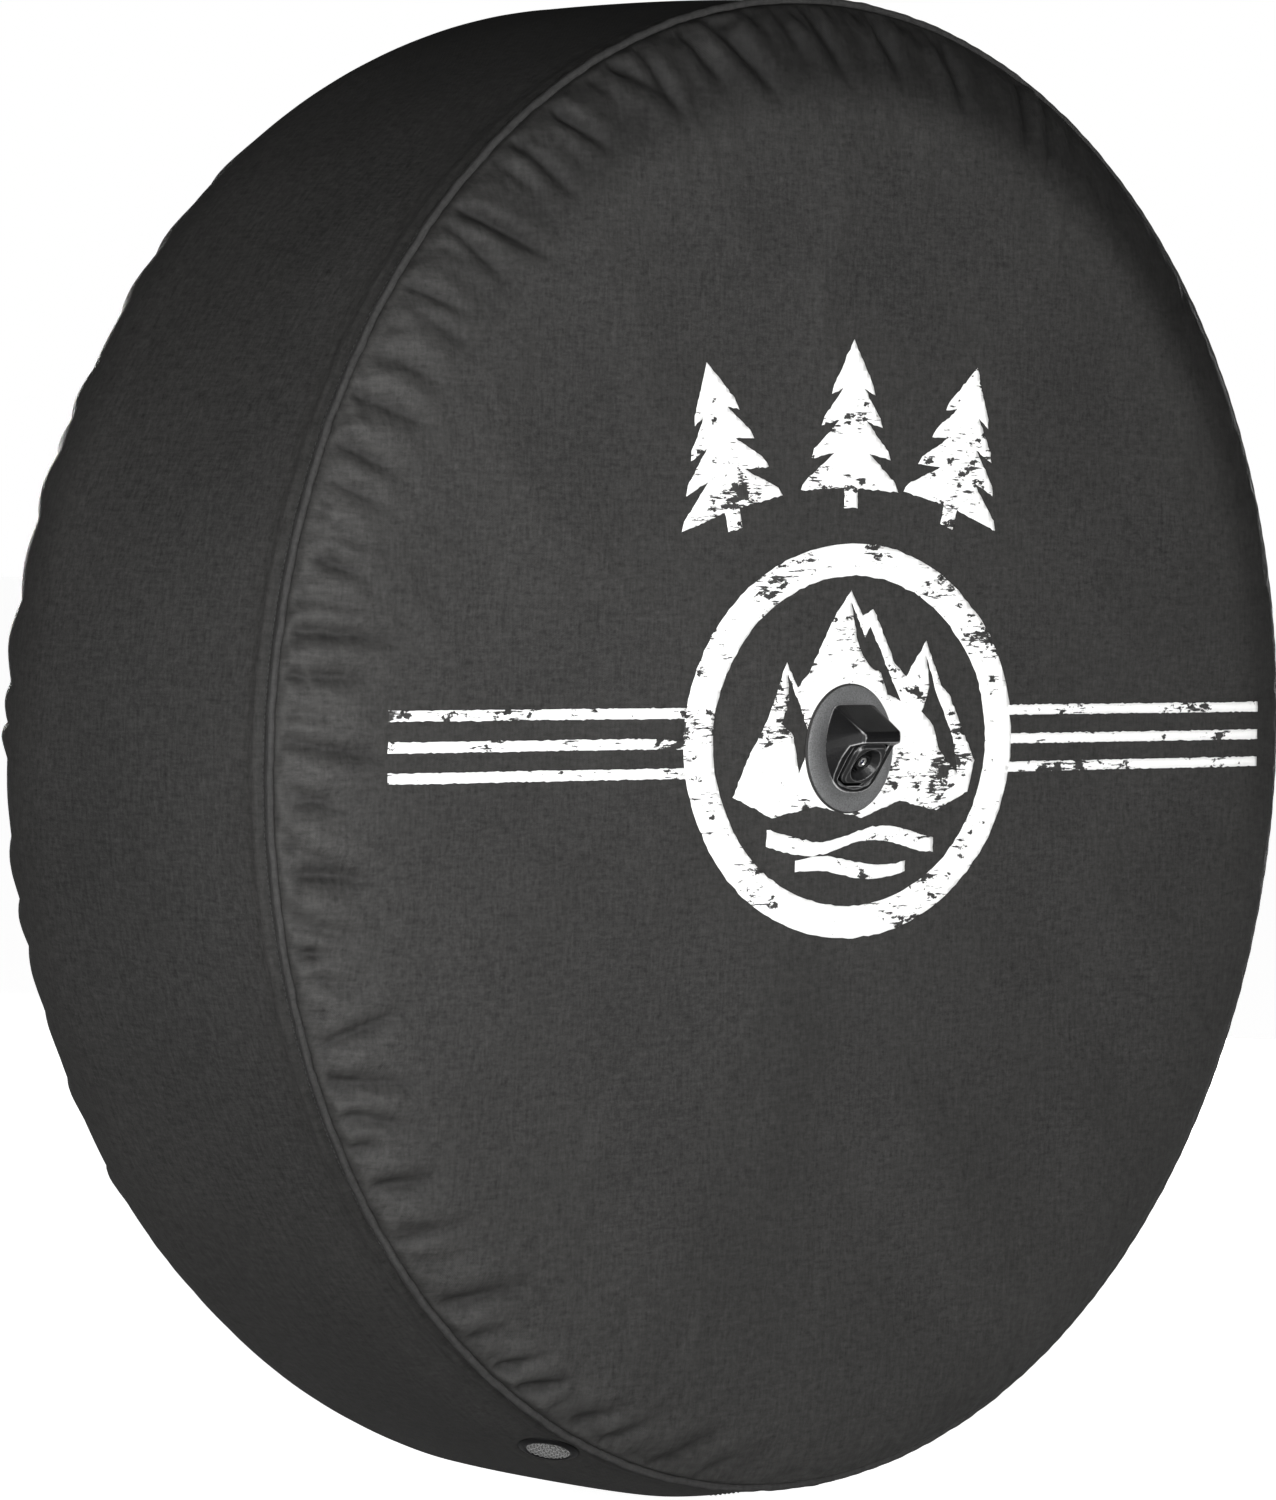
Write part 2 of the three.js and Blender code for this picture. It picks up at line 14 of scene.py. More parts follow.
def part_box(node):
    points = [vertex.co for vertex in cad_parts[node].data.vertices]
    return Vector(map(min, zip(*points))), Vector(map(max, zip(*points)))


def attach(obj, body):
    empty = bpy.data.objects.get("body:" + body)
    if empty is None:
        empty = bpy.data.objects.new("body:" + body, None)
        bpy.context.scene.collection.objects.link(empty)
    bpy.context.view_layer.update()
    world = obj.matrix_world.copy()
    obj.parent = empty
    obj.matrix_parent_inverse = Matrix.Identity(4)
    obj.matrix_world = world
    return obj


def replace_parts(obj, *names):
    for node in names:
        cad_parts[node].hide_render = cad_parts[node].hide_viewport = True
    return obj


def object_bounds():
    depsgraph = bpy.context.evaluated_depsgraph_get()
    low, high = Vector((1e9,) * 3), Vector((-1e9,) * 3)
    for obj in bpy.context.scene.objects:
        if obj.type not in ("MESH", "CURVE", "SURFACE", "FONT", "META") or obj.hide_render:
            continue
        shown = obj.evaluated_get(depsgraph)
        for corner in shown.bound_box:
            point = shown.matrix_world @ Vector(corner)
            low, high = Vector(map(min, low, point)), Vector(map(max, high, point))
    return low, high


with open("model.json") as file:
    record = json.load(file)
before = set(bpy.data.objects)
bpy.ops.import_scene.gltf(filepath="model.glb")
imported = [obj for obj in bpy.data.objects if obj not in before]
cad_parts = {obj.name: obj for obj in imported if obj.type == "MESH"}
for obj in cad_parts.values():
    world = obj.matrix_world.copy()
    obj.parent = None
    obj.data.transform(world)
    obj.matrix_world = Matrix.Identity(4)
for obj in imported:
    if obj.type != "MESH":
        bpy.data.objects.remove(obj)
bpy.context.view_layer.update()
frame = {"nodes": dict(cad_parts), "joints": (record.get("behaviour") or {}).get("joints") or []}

# ---------------- driving dimensions
MM = 0.001
SEAM_RADIUS = 0.415          # sewing line between the face and the band
SEAM_Y = -0.105
DOME = 0.026                 # how far the face stands out from the seam
RIM_START = 0.343            # where the face starts to roll back to the seam
PORT_LIFT = 0.0026           # the face rises this much towards the camera bezel
BAND_RADIUS = 0.420
BAND_CROWN = 0.005
SHOULDER_START_Y = 0.060
SHOULDER_END_RADIUS = 0.352
REAR_Y = 0.142
HEM_RADIUS = 0.287
HEM_Y = 0.141
HEM_TUBE = 0.0058
SAG = 0.009                  # how far the band hangs below the tire at the bottom
SAG_REACH = 0.050
GATHER_HEIGHT = 0.0068
BEAD = 0.0023                # radius of the piping bead
BEAD_RADIUS = 0.4163
BEAD_Y = -0.1065
CLOTH = 0.0013               # thickness of the canvas as it is drawn
STITCH_LINE = 0.0050         # the seam's stitches lie this far behind it
STITCH_PITCH = 0.0034
HEM_STITCH_PITCH = 0.0042
JOIN_STITCH_PITCH = 0.0036
JOIN_STITCH_LENGTH = 0.0028
STITCH_SHARE = 0.78          # how much of their pitch the other stitches take up
GROOVE_DEPTH = 0.0015        # the groove that the seam's stitches lie in
GROOVE_WIDTH = 0.0015
RIDGE_HEIGHT = 0.0012        # the ridge that the seam allowance makes behind the groove
RIDGE_BEHIND = 0.0052
RIDGE_WIDTH = 0.0033
ELASTIC_RADIUS = 0.003       # of the cord in the hem
CORE_RADIUS = 0.0013         # of the cord in the piping
BACK_SEAM_DEGREES = 181.5    # where the band's two ends meet, at the bottom
JOIN_ROW = 0.0055            # the join's rows of stitches lie this far on both sides of it
JOIN_DEPTH = 0.0012
JOIN_WIDTH = 0.0028
SCREEN_RADIUS = 0.0126       # the round wire screen in the drain
SCREEN_PITCH = 0.0023
SCREEN_WIRE = 0.0005
DRAIN_HOLE = 0.0125          # hole in the band's canvas for the drain
DRAIN_FLAT = 0.017           # out to here the canvas lies flat under the drain's ring
DRAIN_FREE = 0.028           # from here on it is free again
DRAIN_NEAR = 0.02            # points further than this from the drain's plane are elsewhere
DRAIN_REACH = 0.03           # and so are those further than this from its centre
DRAIN_LIFT = 0.0023          # from the middle of the CAD's washer out to the canvas
DRAIN_SEAT = 0.0003          # the highest that the canvas comes under the ring
DRAIN_BULGE = 0.0007         # how far it swells just outside the ring
DRAIN_BULGE_RADIUS = 0.0215
FACE_COLUMNS = 640
BAND_COLUMNS = 900


# ---------------- mesh helpers
def grid_faces(rows, columns, closed_rows=False):
    """Quads of a grid whose columns go all the way round; rows may close too."""
    i = np.arange(rows if closed_rows else rows - 1)[:, None]
    j = np.arange(columns)[None, :]
    below, beside = (i + 1) % rows, (j + 1) % columns
    quads = [i * columns + j, i * columns + beside, below * columns + beside, below * columns + j]
    return np.stack(np.broadcast_arrays(*quads), axis=-1).reshape(-1, 4)


def full_circle(count):
    return np.linspace(0, 2 * np.pi, count, endpoint=False)


def places_of(mesh):
    return np.array([v.co for v in mesh.vertices])


def normals_of(mesh):
    return np.array([v.normal for v in mesh.vertices])


def store_on_points(mesh, name, values):
    mesh.attributes.new(name, "FLOAT", "POINT").data.foreach_set("value", values)


def new_object(name, data):
    made = bpy.data.objects.new(name, data)
    bpy.context.collection.objects.link(made)
    return made


def new_mesh(name, points, faces):
    mesh = bpy.data.meshes.new(name)
    mesh.from_pydata(np.asarray(points, float).reshape(-1, 3).tolist(), [], [list(f) for f in faces])
    return mesh


def add_piece(name, points, faces, material, body="cover", cloth=None):
    """A smooth mesh from points and faces, riding on a body. cloth gives its weave's (u, v)."""
    mesh = new_mesh(name, points, faces)
    if cloth is not None:
        flat = np.zeros((len(mesh.vertices), 3))
        flat[:, :2] = np.asarray(cloth, float).reshape(-1, 2)
        layer = mesh.attributes.new("cloth", "FLOAT_VECTOR", "POINT")
        layer.data.foreach_set("vector", flat.ravel())
    mesh.shade_smooth()
    mesh.materials.append(material)
    piece = new_object(name, mesh)
    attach(piece, body)
    return piece


def settled(piece):
    """Turn a piece's modifiers into its mesh, so that none is left on it."""
    graph = bpy.context.evaluated_depsgraph_get()
    mesh = bpy.data.meshes.new_from_object(
        piece.evaluated_get(graph), preserve_all_data_layers=True, depsgraph=graph
    )
    piece.modifiers.clear()
    piece.data = mesh
    return piece


def thicken(piece, thickness):
    """Give an open sheet its thickness, on the inner side."""
    solid = piece.modifiers.new("thickness", "SOLIDIFY")
    solid.thickness = thickness
    solid.offset = -1
    return settled(piece)


def smoothstep(value, low, high):
    t = np.clip((value - low) / (high - low), 0, 1)
    return t * t * (3 - 2 * t)


def bell(offset, width):
    """1 where the offset is 0, falling away on both sides."""
    return np.exp(-((offset / width) ** 2))


def turn_from(theta, start):
    """The angle from start to theta, between half a turn back and half a turn on."""
    return np.remainder(theta - start + np.pi, 2 * np.pi) - np.pi


def around(radius, y, theta):
    """Points on circles about the Y axis; theta runs from the top towards +X."""
    radius, y, theta = np.broadcast_arrays(radius, y, theta)
    return np.stack([radius * np.sin(theta), y, radius * np.cos(theta)], axis=-1)


def add_ring(name, node, centre_radius, centre_y, tube, rows, columns, material, slot):
    """A ring about the Y axis that stands for a CAD node. Its sizes may vary over the columns."""
    turn = full_circle(columns)
    section = full_circle(rows)[:, None]
    points = around(centre_radius + tube * np.cos(section), centre_y + tube * np.sin(section), turn)
    cloth = np.stack(np.broadcast_arrays(turn * SEAM_RADIUS, section * np.mean(tube)), axis=-1)
    faces = grid_faces(rows, columns, closed_rows=True)
    piece = add_piece(name, points, faces, material, cloth=cloth)
    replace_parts(piece, node)
    return piece


# ---------------- shader helpers
def new_material(name, colour, roughness, metallic=0.0, **sockets):
    """A material, its node tree and its shader, whose other sockets are named with _ for spaces."""
    material = bpy.data.materials.new(name)
    material.use_nodes = True
    shader = material.node_tree.nodes["Principled BSDF"]
    shader.inputs["Base Color"].default_value = (*colour, 1)
    shader.inputs["Roughness"].default_value = roughness
    shader.inputs["Metallic"].default_value = metallic
    for socket, value in sockets.items():
        shader.inputs[socket.replace("_", " ")].default_value = value
    return material, material.node_tree, shader


def add_node(tree, kind, values=(), **settings):
    """A shader node with its settings, and values or links for its inputs by name or number."""
    made = tree.nodes.new("ShaderNode" + kind)
    for key, value in settings.items():
        setattr(made, key, value)
    for key, value in dict(values).items():
        if isinstance(value, bpy.types.NodeSocket):
            tree.links.new(value, made.inputs[key])
        else:
            made.inputs[key].default_value = value
    return made


def math_node(tree, operation, a, b=0.0, c=0.0):
    return add_node(tree, "Math", {0: a, 1: b, 2: c}, operation=operation).outputs[0]


def times(tree, a, b, plus=0.0):
    return math_node(tree, "MULTIPLY_ADD", a, b, plus)


def stretched_noise(tree, coordinates, scale, detail=3.0, roughness=0.55):
    """Noise whose scale is a size per metre along each axis, 0.5 on average."""
    moved = add_node(tree, "Mapping", {"Vector": coordinates, "Scale": scale})
    values = {"Vector": moved.outputs[0], "Scale": 1.0, "Detail": detail, "Roughness": roughness}
    return add_node(tree, "TexNoise", values).outputs["Fac"]


def between(tree, value, low, high, out_low=0.0, out_high=1.0):
    values = {"Value": value, "From Min": low, "From Max": high, "To Min": out_low, "To Max": out_high}
    return add_node(tree, "MapRange", values).outputs["Result"]


def mix_colours(tree, factor, a, b, blend="MIX"):
    values = {0: factor, 6: a, 7: b}
    return add_node(tree, "Mix", values, data_type="RGBA", blend_type=blend).outputs[2]


def grey(tree, value):
    return add_node(tree, "CombineColor", {0: value, 1: value, 2: value}).outputs[0]


def scaled(colour, factor):
    return tuple(c * factor for c in colour)


def drive(shader, socket, output):
    """Link a node's output to a socket of the shader."""
    shader.id_data.links.new(output, shader.inputs[socket])


def drive_colour(shader, factor, low, high):
    """Let a factor from 0 to 1 take the base colour from one colour to another."""
    drive(shader, "Base Color", mix_colours(shader.id_data, factor, (*low, 1), (*high, 1)))


def add_bump(shader, height, distance):
    bump = add_node(shader.id_data, "Bump", {"Height": height, "Distance": distance})
    drive(shader, "Normal", bump.outputs["Normal"])


def stored(tree, attribute, output="Fac"):
    """Something that the mesh stores for each of its points."""
    return add_node(tree, "Attribute", attribute_name=attribute).outputs[output]


def object_coordinates(tree):
    return add_node(tree, "TexCoord").outputs["Object"]


# ---------------- cloth materials
THREAD_PITCH = 0.0011        # from one thread of the canvas to the next
CHIPS = (0.664, 0.676)       # levels of the noise between which the ink has chipped off
CRACKS = (0.668, 0.682)


def weave_height(tree, uv, pitch):
    """A plain weave: threads that go over and under each other along both axes."""
    parts = add_node(tree, "SeparateXYZ", {0: uv})
    turns = 2 * math.pi / pitch
    across = math_node(tree, "SINE", times(tree, parts.outputs[0], turns))
    along = math_node(tree, "SINE", times(tree, parts.outputs[1], turns))
    return times(tree, across, along)


def cloth_tones(tree, uv, colour, contrast):
    """Colour of yarn-dyed cloth: long slubs both ways, mottled fading and fine specks.

    The mesh's painted shading attribute paints shade into the tone where it is below 0 (in crease valleys
    and along the face's upper rim), and a highlight on crease crests where it is above 0."""
    warp = stretched_noise(tree, uv, (85, 380, 1), 4.0, 0.7)
    weft = stretched_noise(tree, uv, (420, 75, 1), 4.0, 0.7)
    specks = stretched_noise(tree, uv, (230, 260, 1), 5.0, 0.8)
    fade = stretched_noise(tree, uv, (6, 8, 1), 4.0, 0.6)
    slubs = math_node(tree, "ADD", warp, weft)
    total = times(tree, specks, 1.5, slubs)
    tone = between(tree, total, 1.25, 2.25, 1 - contrast, 1 + contrast)
    faded = times(tree, tone, between(tree, fade, 0.3, 0.7, 0.9, 1.1))
    # painted shade and highlight from the stored attribute, on top of the random fading
    fade_and_painted_shade = times(tree, faded, stored(tree, "painted_shading"), faded)
    half = times(tree, fade_and_painted_shade, 0.5)
    return mix_colours(tree, half, (0, 0, 0, 1), (*scaled(colour, 2), 1)), slubs


def cloth_material(name, colour, contrast=0.5, pitch=THREAD_PITCH, bump=0.00009, specular=0.12):
    material, tree, shader = new_material(name, colour, 0.6, Specular_IOR_Level=specular)
    uv = stored(tree, "cloth", "Vector")
    tone, slubs = cloth_tones(tree, uv, colour, contrast)
    drive(shader, "Base Color", tone)
    weave = weave_height(tree, uv, pitch)
    add_bump(shader, times(tree, weave, 0.35, slubs), bump)
    return material


def lost_ink(tree, noise, share, patches, patch_share, levels):
    """1 where a fine noise and the large worn patches together say that the ink is gone."""
    patch_part = times(tree, patches, patch_share)
    return between(tree, times(tree, noise, share, patch_part), *levels)


def print_material(name, ink, cloth):
    """Screen-print ink that has cracked and flaked off, down to the cloth."""
    material, tree, shader = new_material(name, ink, 0.7, Specular_IOR_Level=0.3)
    uv = stored(tree, "cloth", "Vector")
    bare, slubs = cloth_tones(tree, uv, cloth, 0.6)
    patches = stretched_noise(tree, uv, (17, 26, 1), 3.0, 0.6)
    chips = stretched_noise(tree, uv, (95, 170, 1), 5.0, 0.62)
    cracks = stretched_noise(tree, uv, (75, 520, 1), 4.0, 0.6)
    chipped = lost_ink(tree, chips, 0.62, patches, 0.55, CHIPS)
    cracked = lost_ink(tree, cracks, 0.55, patches, 0.62, CRACKS)
    gone = math_node(tree, "MAXIMUM", chipped, cracked)
    tone = between(tree, slubs, 0.7, 1.3, 0.97, 1.03)
    white = mix_colours(tree, 1.0, (*ink, 1), grey(tree, tone), "MULTIPLY")
    drive(shader, "Base Color", mix_colours(tree, gone, white, bare))
    weave = weave_height(tree, uv, THREAD_PITCH)
    add_bump(shader, times(tree, weave, 0.3, slubs), 0.00012)
    return material


def thread_material(name, colour):
    """Twisted sewing thread: fine diagonal ridges."""
    material, tree, shader = new_material(name, colour, 0.6, Sheen_Weight=0.2)
    twist = stretched_noise(tree, object_coordinates(tree), (1800, 900, 1800), 2.0)
    drive_colour(shader, twist, scaled(colour, 0.6), scaled(colour, 1.5))
    add_bump(shader, twist, 0.0002)
    return material


# ---------------- hard materials
def plastic_material(name, colour, roughness, grain, grain_scale, specular=0.5, edge=0.0):
    """Moulded plastic: a fine spark-eroded grain, handling marks, dust, and a painted highlight on its
    rounded edges.
    """
    material, tree, shader = new_material(name, colour, roughness, Specular_IOR_Level=specular)
    place = object_coordinates(tree)
    texture = stretched_noise(tree, place, (grain_scale,) * 3, 3.0)
    smudge = stretched_noise(tree, place, (60, 60, 60), 5.0, 0.65)
    dust = stretched_noise(tree, place, (420, 420, 420), 6.0, 0.75)
    drive(shader, "Roughness", between(tree, smudge, 0.3, 0.7, roughness - 0.07, roughness + 0.1))
    pale = (c * 1.5 + 0.02 for c in colour)
    dusty = mix_colours(tree, between(tree, dust, 0.58, 0.8, 0, 0.5), (*colour, 1), (*pale, 1))
    pits = grey(tree, between(tree, texture, 0.3, 0.7, 0.6, 1.4))
    speckled = mix_colours(tree, 1.0, dusty, pits, "MULTIPLY")
    # Painted highlight: the colour is paler on rounded, convex edges.
    wear_and_edge_highlight = (c + edge for c in colour)
    drive(shader, "Base Color", mix_colours(tree, stored(tree, "edge"), speckled, (*wear_and_edge_highlight, 1)))
    add_bump(shader, texture, grain)
    return material


def metal_material(name, colour, roughness, coated=False):
    """Turned or coated metal: fine lines, and rubbed spots where a coating has worn."""
    material, tree, shader = new_material(name, colour, roughness, 1.0)
    place = object_coordinates(tree)
    lines = stretched_noise(tree, place, (300, 3000, 300), 3.0)
    wear_and_edge_highlight = stretched_noise(tree, place, (350, 350, 350), 5.0, 0.7)
    drive(shader, "Roughness", between(tree, lines, 0.3, 0.7, roughness - 0.08, roughness + 0.12))
    other = (0.45, 0.44, 0.42) if coated else scaled(colour, 0.7)
    amount = between(tree, wear_and_edge_highlight, 0.66, 0.72) if coated else between(tree, wear_and_edge_highlight, 0.4, 0.8)
    drive_colour(shader, amount, colour, other)
    add_bump(shader, lines, 0.00001)
    return material


def rubber_material():
    material, tree, shader = new_material("rubber", (0.012, 0.012, 0.012), 0.75)
    bloom = stretched_noise(tree, object_coordinates(tree), (500, 500, 500), 5.0)
    drive_colour(shader, bloom, (0.008, 0.008, 0.008), (0.022, 0.021, 0.02))
    add_bump(shader, bloom, 0.00004)
    return material


def board_material():
    """Green solder mask with paler copper runs beneath it."""
    material, tree, shader = new_material("circuit_board", (0.012, 0.07, 0.03), 0.35)
    values = {"Vector": object_coordinates(tree), "Scale": 260.0, "Mortar Size": 0.03}
    runs = add_node(tree, "TexBrick", values).outputs["Fac"]
    drive_colour(shader, runs, (0.012, 0.07, 0.03), (0.03, 0.15, 0.06))
    add_bump(shader, runs, 0.00003)
    return material


def glass_material():
    """A coated lens: nearly black, with a faint blue-violet sheen in its reflection."""
    coat = dict(Coat_Weight=1.0, Coat_Roughness=0.02, Coat_Tint=(0.75, 0.8, 1, 1))
    material, tree, shader = new_material("lens_glass", (0.006, 0.007, 0.012), 0.03, **coat)
    edge = add_node(tree, "LayerWeight", {"Blend": 0.4}).outputs["Facing"]
    drive_colour(shader, edge, (0.004, 0.005, 0.01), (0.03, 0.02, 0.06))
    return material


CANVAS_COLOUR = (0.032, 0.0315, 0.0305)
INK_COLOUR = (0.86, 0.86, 0.85)
CANVAS = cloth_material("canvas", CANVAS_COLOUR)
TAPE = cloth_material("bias_tape", (0.038, 0.0375, 0.037), 0.4, 0.0009, 0.00012, specular=0.02)
INK = print_material("print_ink", INK_COLOUR, CANVAS_COLOUR)
THREAD = thread_material("thread", (0.014, 0.0138, 0.0135))
ELASTIC = thread_material("elastic_braid", (0.02, 0.02, 0.02))
GREY_PLASTIC = plastic_material("grey_plastic", (0.098, 0.099, 0.1), 0.5, 0.00016, 1300, edge=0.08)
DARK_PLASTIC = plastic_material(
    "dark_plastic", (0.006, 0.006, 0.0063), 0.36, 0.0001, 1300, specular=0.16, edge=0.35
)
CARRIER_PLASTIC = plastic_material(
    "carrier_plastic", (0.009, 0.009, 0.0093), 0.32, 0.00005, 1500, specular=0.4, edge=0.12
)
STEEL = metal_material("steel", (0.62, 0.62, 0.61), 0.3)
BLACK_METAL = metal_material("black_metal", (0.03, 0.03, 0.031), 0.42, coated=True)
SCREEN = plastic_material("screen_wire", (0.19, 0.19, 0.187), 0.5, 0.00003, 2500)
GOLD = metal_material("gold", (0.75, 0.5, 0.15), 0.25)
RUBBER = rubber_material()
BOARD = board_material()
GLASS = glass_material()


# ---------------- shapes of the cloth
LEFT_CROWDING = 0.4                              # how much closer the left's creases are than the right's
CREASE_FULL = 0.0022                             # creases this deep get their full painted shade, and crests this high their full painted highlight
# how much darker crease valleys are painted (painted shade) and how much paler crests are painted
# (painted highlight)
CREASE_PAINTED_SHADE = 0.34
CREASE_END = (0.4115, 0.4146)                    # radii between which creases die out at the seam
CREST_PAINTED_HIGHLIGHT = 0.18
RIM_SHADE_PLACES = (-62, -35, 0, 50, 75, 105)      # degrees round from the top, where shade is painted along the rim
RIM_SHADE_AMOUNTS = (0, 0.40, 0.60, 0.58, 0.34, 0)
RIM_SHADE_EDGE = (0.348, 0.384)                    # radii between which the painted rim shade comes in


def face_y(radius):
    """The face's outer surface: flat, rolled back at the rim and lifted at the camera port."""
    rolled = np.clip((radius - RIM_START) / (SEAM_RADIUS - RIM_START), 0, 1)
    lift = PORT_LIFT * np.clip(1 - (radius - 0.05) / 0.15, 0, 1) ** 1.5
    return SEAM_Y - DOME * np.sqrt(1 - rolled**2) - lift


def crease_direction(degrees):
    """Way that a crease runs in the face's plane, from +X, by where on the seam it starts."""
    starts = (-180, -165, -150, -125, -90, -60, -38, -12, 10, 40, 90, 135, 180)
    ways = (60, 20, 10, 7, -5, -28, -32, -50, -75, -130, -180, -225, -300)
    return math.radians(np.interp(degrees, starts, ways))


def crease_strength(degrees):
    """How deep creases are, by where on the seam they start: the right and the bottom are calm."""
    places = (-180, -170, -160, 5, 40, 180)
    return np.interp(degrees, places, (0.1, 0.25, 1, 1, 0.2, 0.1))


def make_creases(count, seed, deepest, longest, narrowest=0.0030, jitter=0.13):
    """Creases that start at the seam: (start x, z, way x, z, depth, length, width) for each."""
    draw = random.Random(seed)
    creases = []
    for k in range(count):
        turn = 2 * math.pi * (k + draw.uniform(-0.4, 0.4)) / count
        angle = math.remainder(turn - LEFT_CROWDING * math.cos(turn), 2 * math.pi)
        way = crease_direction(math.degrees(angle)) + draw.gauss(0, jitter)
        start = SEAM_RADIUS - draw.uniform(0.002, 0.008)
        strength = draw.uniform(0.35, 1.0)
        place = (start * math.sin(angle), start * math.cos(angle), math.cos(way), math.sin(way))
        depth = deepest * strength * crease_strength(math.degrees(angle))
        length = longest * draw.uniform(0.5, 1.0) * (0.5 + 0.5 * strength)
        creases.append((*place, depth, length, narrowest * draw.uniform(1, 1.6)))
    return creases


def crease_height(creases, x, z):
    """Sharp valleys that taper out, with the cloth bulging a little on both sides of each."""
    height = np.zeros(x.shape)
    for start_x, start_z, way_x, way_z, depth, length, width in creases:
        near = np.hypot(x - start_x, z - start_z) < length * 1.5 + 0.02
        right, up = x[near] - start_x, z[near] - start_z
        along = (right * way_x + up * way_z) / length
        across = np.abs(right * way_z - up * way_x) / width
        valley = np.exp(-np.sqrt(across**2 + 0.25) + 0.5)
        bulge = 0.55 * bell(across - 3.2, 2.3)
        reach = smoothstep(along, -0.15, 0.08) * (1 - smoothstep(along, 0.15, 1.0))
        height[near] += depth * reach * (bulge - valley)
    return height


def make_puckers(count, seed, tallest, longest):
    """Small crests along a seam: (angle, height, length, width, slant) for each."""
    draw = random.Random(seed)
    puckers = []
    for k in range(count):
        angle = 2 * math.pi * (k + draw.uniform(-0.42, 0.42)) / count
        size = draw.uniform(0.4, 1.0)
        width, slant = draw.uniform(0.0035, 0.007), draw.uniform(-0.5, 0.5)
        puckers.append((angle, tallest * size, longest * size, width, slant))
    return puckers


def pucker_height(puckers, theta, depth):
    """Height of the crests at an angle and a distance from their seam."""
    height = np.zeros(np.broadcast(theta, depth).shape)
    for angle, tall, length, width, slant in puckers:
        across = turn_from(theta, angle) * SEAM_RADIUS + slant * depth
        crest = bell(across, width)
        valleys = 0.4 * bell(np.abs(across) - 2 * width, width)
        reach = smoothstep(depth, 0, 0.004) * np.exp(-((depth / length) ** 2) * 1.6)
        height += tall * (crest - valleys) * reach
    return height


def broad_waves(x, z):
    """Slow unevenness of stretched cloth, under a millimetre high."""
    return (
        0.45 * np.sin(19 * x + 7 * z + 0.4)
        + 0.35 * np.sin(11 * x - 24 * z + 1.9)
        + 0.30 * np.sin(-31 * x + 17 * z + 3.1)
        + 0.22 * np.sin(43 * x + 38 * z + 0.7)
    ) * MM


def tread_radius(y):
    return BAND_RADIUS - BAND_CROWN * (y / SEAM_Y) ** 2


def band_profile():
    """Rows of the band from the seam to the hem: radius, y and the outward direction."""
    near = SEAM_Y + 0.0001 + 0.001 * np.arange(14)
    tread = np.linspace(near[-1] + 0.003, SHOULDER_START_Y, 34)
    y = np.concatenate([near, tread])
    radius = tread_radius(y)
    turn = np.radians(np.linspace(0, 90, 22)[1:])
    width = radius[-1] - SHOULDER_END_RADIUS
    depth = REAR_Y - SHOULDER_START_Y
    flat = np.linspace(SHOULDER_END_RADIUS, HEM_RADIUS + HEM_TUBE * 0.8, 19)[1:]
    radius = np.concatenate([radius, SHOULDER_END_RADIUS + width * np.cos(turn), flat])
    y = np.concatenate([y, SHOULDER_START_Y + depth * np.sin(turn), np.full(len(flat), REAR_Y)])
    along = np.stack([np.gradient(radius), np.gradient(y)], axis=-1)
    along /= np.linalg.norm(along, axis=1, keepdims=True)
    return radius, y, along[:, 1], -along[:, 0]


def sag_at(theta, y):
    """How far the loose band hangs down: most at the bottom, nothing at the seam."""
    bottom = np.clip(-np.cos(theta), 0, 1) ** 2
    before_rear = 1 - smoothstep(y, SHOULDER_START_Y, REAR_Y)
    return SAG * bottom * smoothstep(y, SEAM_Y, SEAM_Y + SAG_REACH) * before_rear


class Gathers:
    """Folds that the elastic pulls into the rear of the band: uneven, rounded, sharp between."""

    def __init__(self, count, seed):
        draw = random.Random(seed)
        widths = np.array([draw.uniform(0.55, 1.6) for _ in range(count)])
        self.edges = np.concatenate([[0], np.cumsum(widths)]) / widths.sum() * 2 * np.pi
        self.tall = np.array([draw.uniform(0.55, 1.0) for _ in range(count)])
        self.start = np.array([draw.uniform(0.0, 0.3) for _ in range(count)])
        self.lean = [draw.uniform(-0.02, 0.02) for _ in range(2)]

    def height(self, theta, reach):
        """reach is 0 where the band turns over the shoulder and 1 at the hem."""
        drift = self.lean[0] * np.sin(3 * theta) + self.lean[1] * np.sin(5 * theta + 1)
        turned = np.remainder(theta + drift * (1 - reach) * 2, 2 * np.pi)
        fold = np.clip(np.searchsorted(self.edges, turned, side="right") - 1, 0, len(self.tall) - 1)
        part = (turned - self.edges[fold]) / (self.edges[fold + 1] - self.edges[fold])
        ridge = np.sin(np.pi * np.clip(part, 0, 1)) ** 0.85
        begun = smoothstep(reach, self.start[fold], self.start[fold] + 0.35)
        size = GATHER_HEIGHT * smoothstep(reach, 0, 0.6) * (1 - 0.6 * smoothstep(reach, 0.8, 1))
        return size * self.tall[fold] * ridge * begun


FACE_CREASES = make_creases(76, 11, 5.2 * MM, 0.078, 0.0027)
FACE_CREASES += make_creases(110, 14, 2.0 * MM, 0.026, 0.0020, 0.4)
BAND_PUCKERS = make_puckers(130, 12, 0.4 * MM, 0.020)
GATHERS = Gathers(84, 13)


def gather_reach(radius, y):
    """How far the gathers have come up: 0 on the shoulder, 1 near the hem."""
    return np.clip((0.118 - np.abs(radius - 0.300) + (y - 0.075) * 0.9) / 0.18, 0, 1)


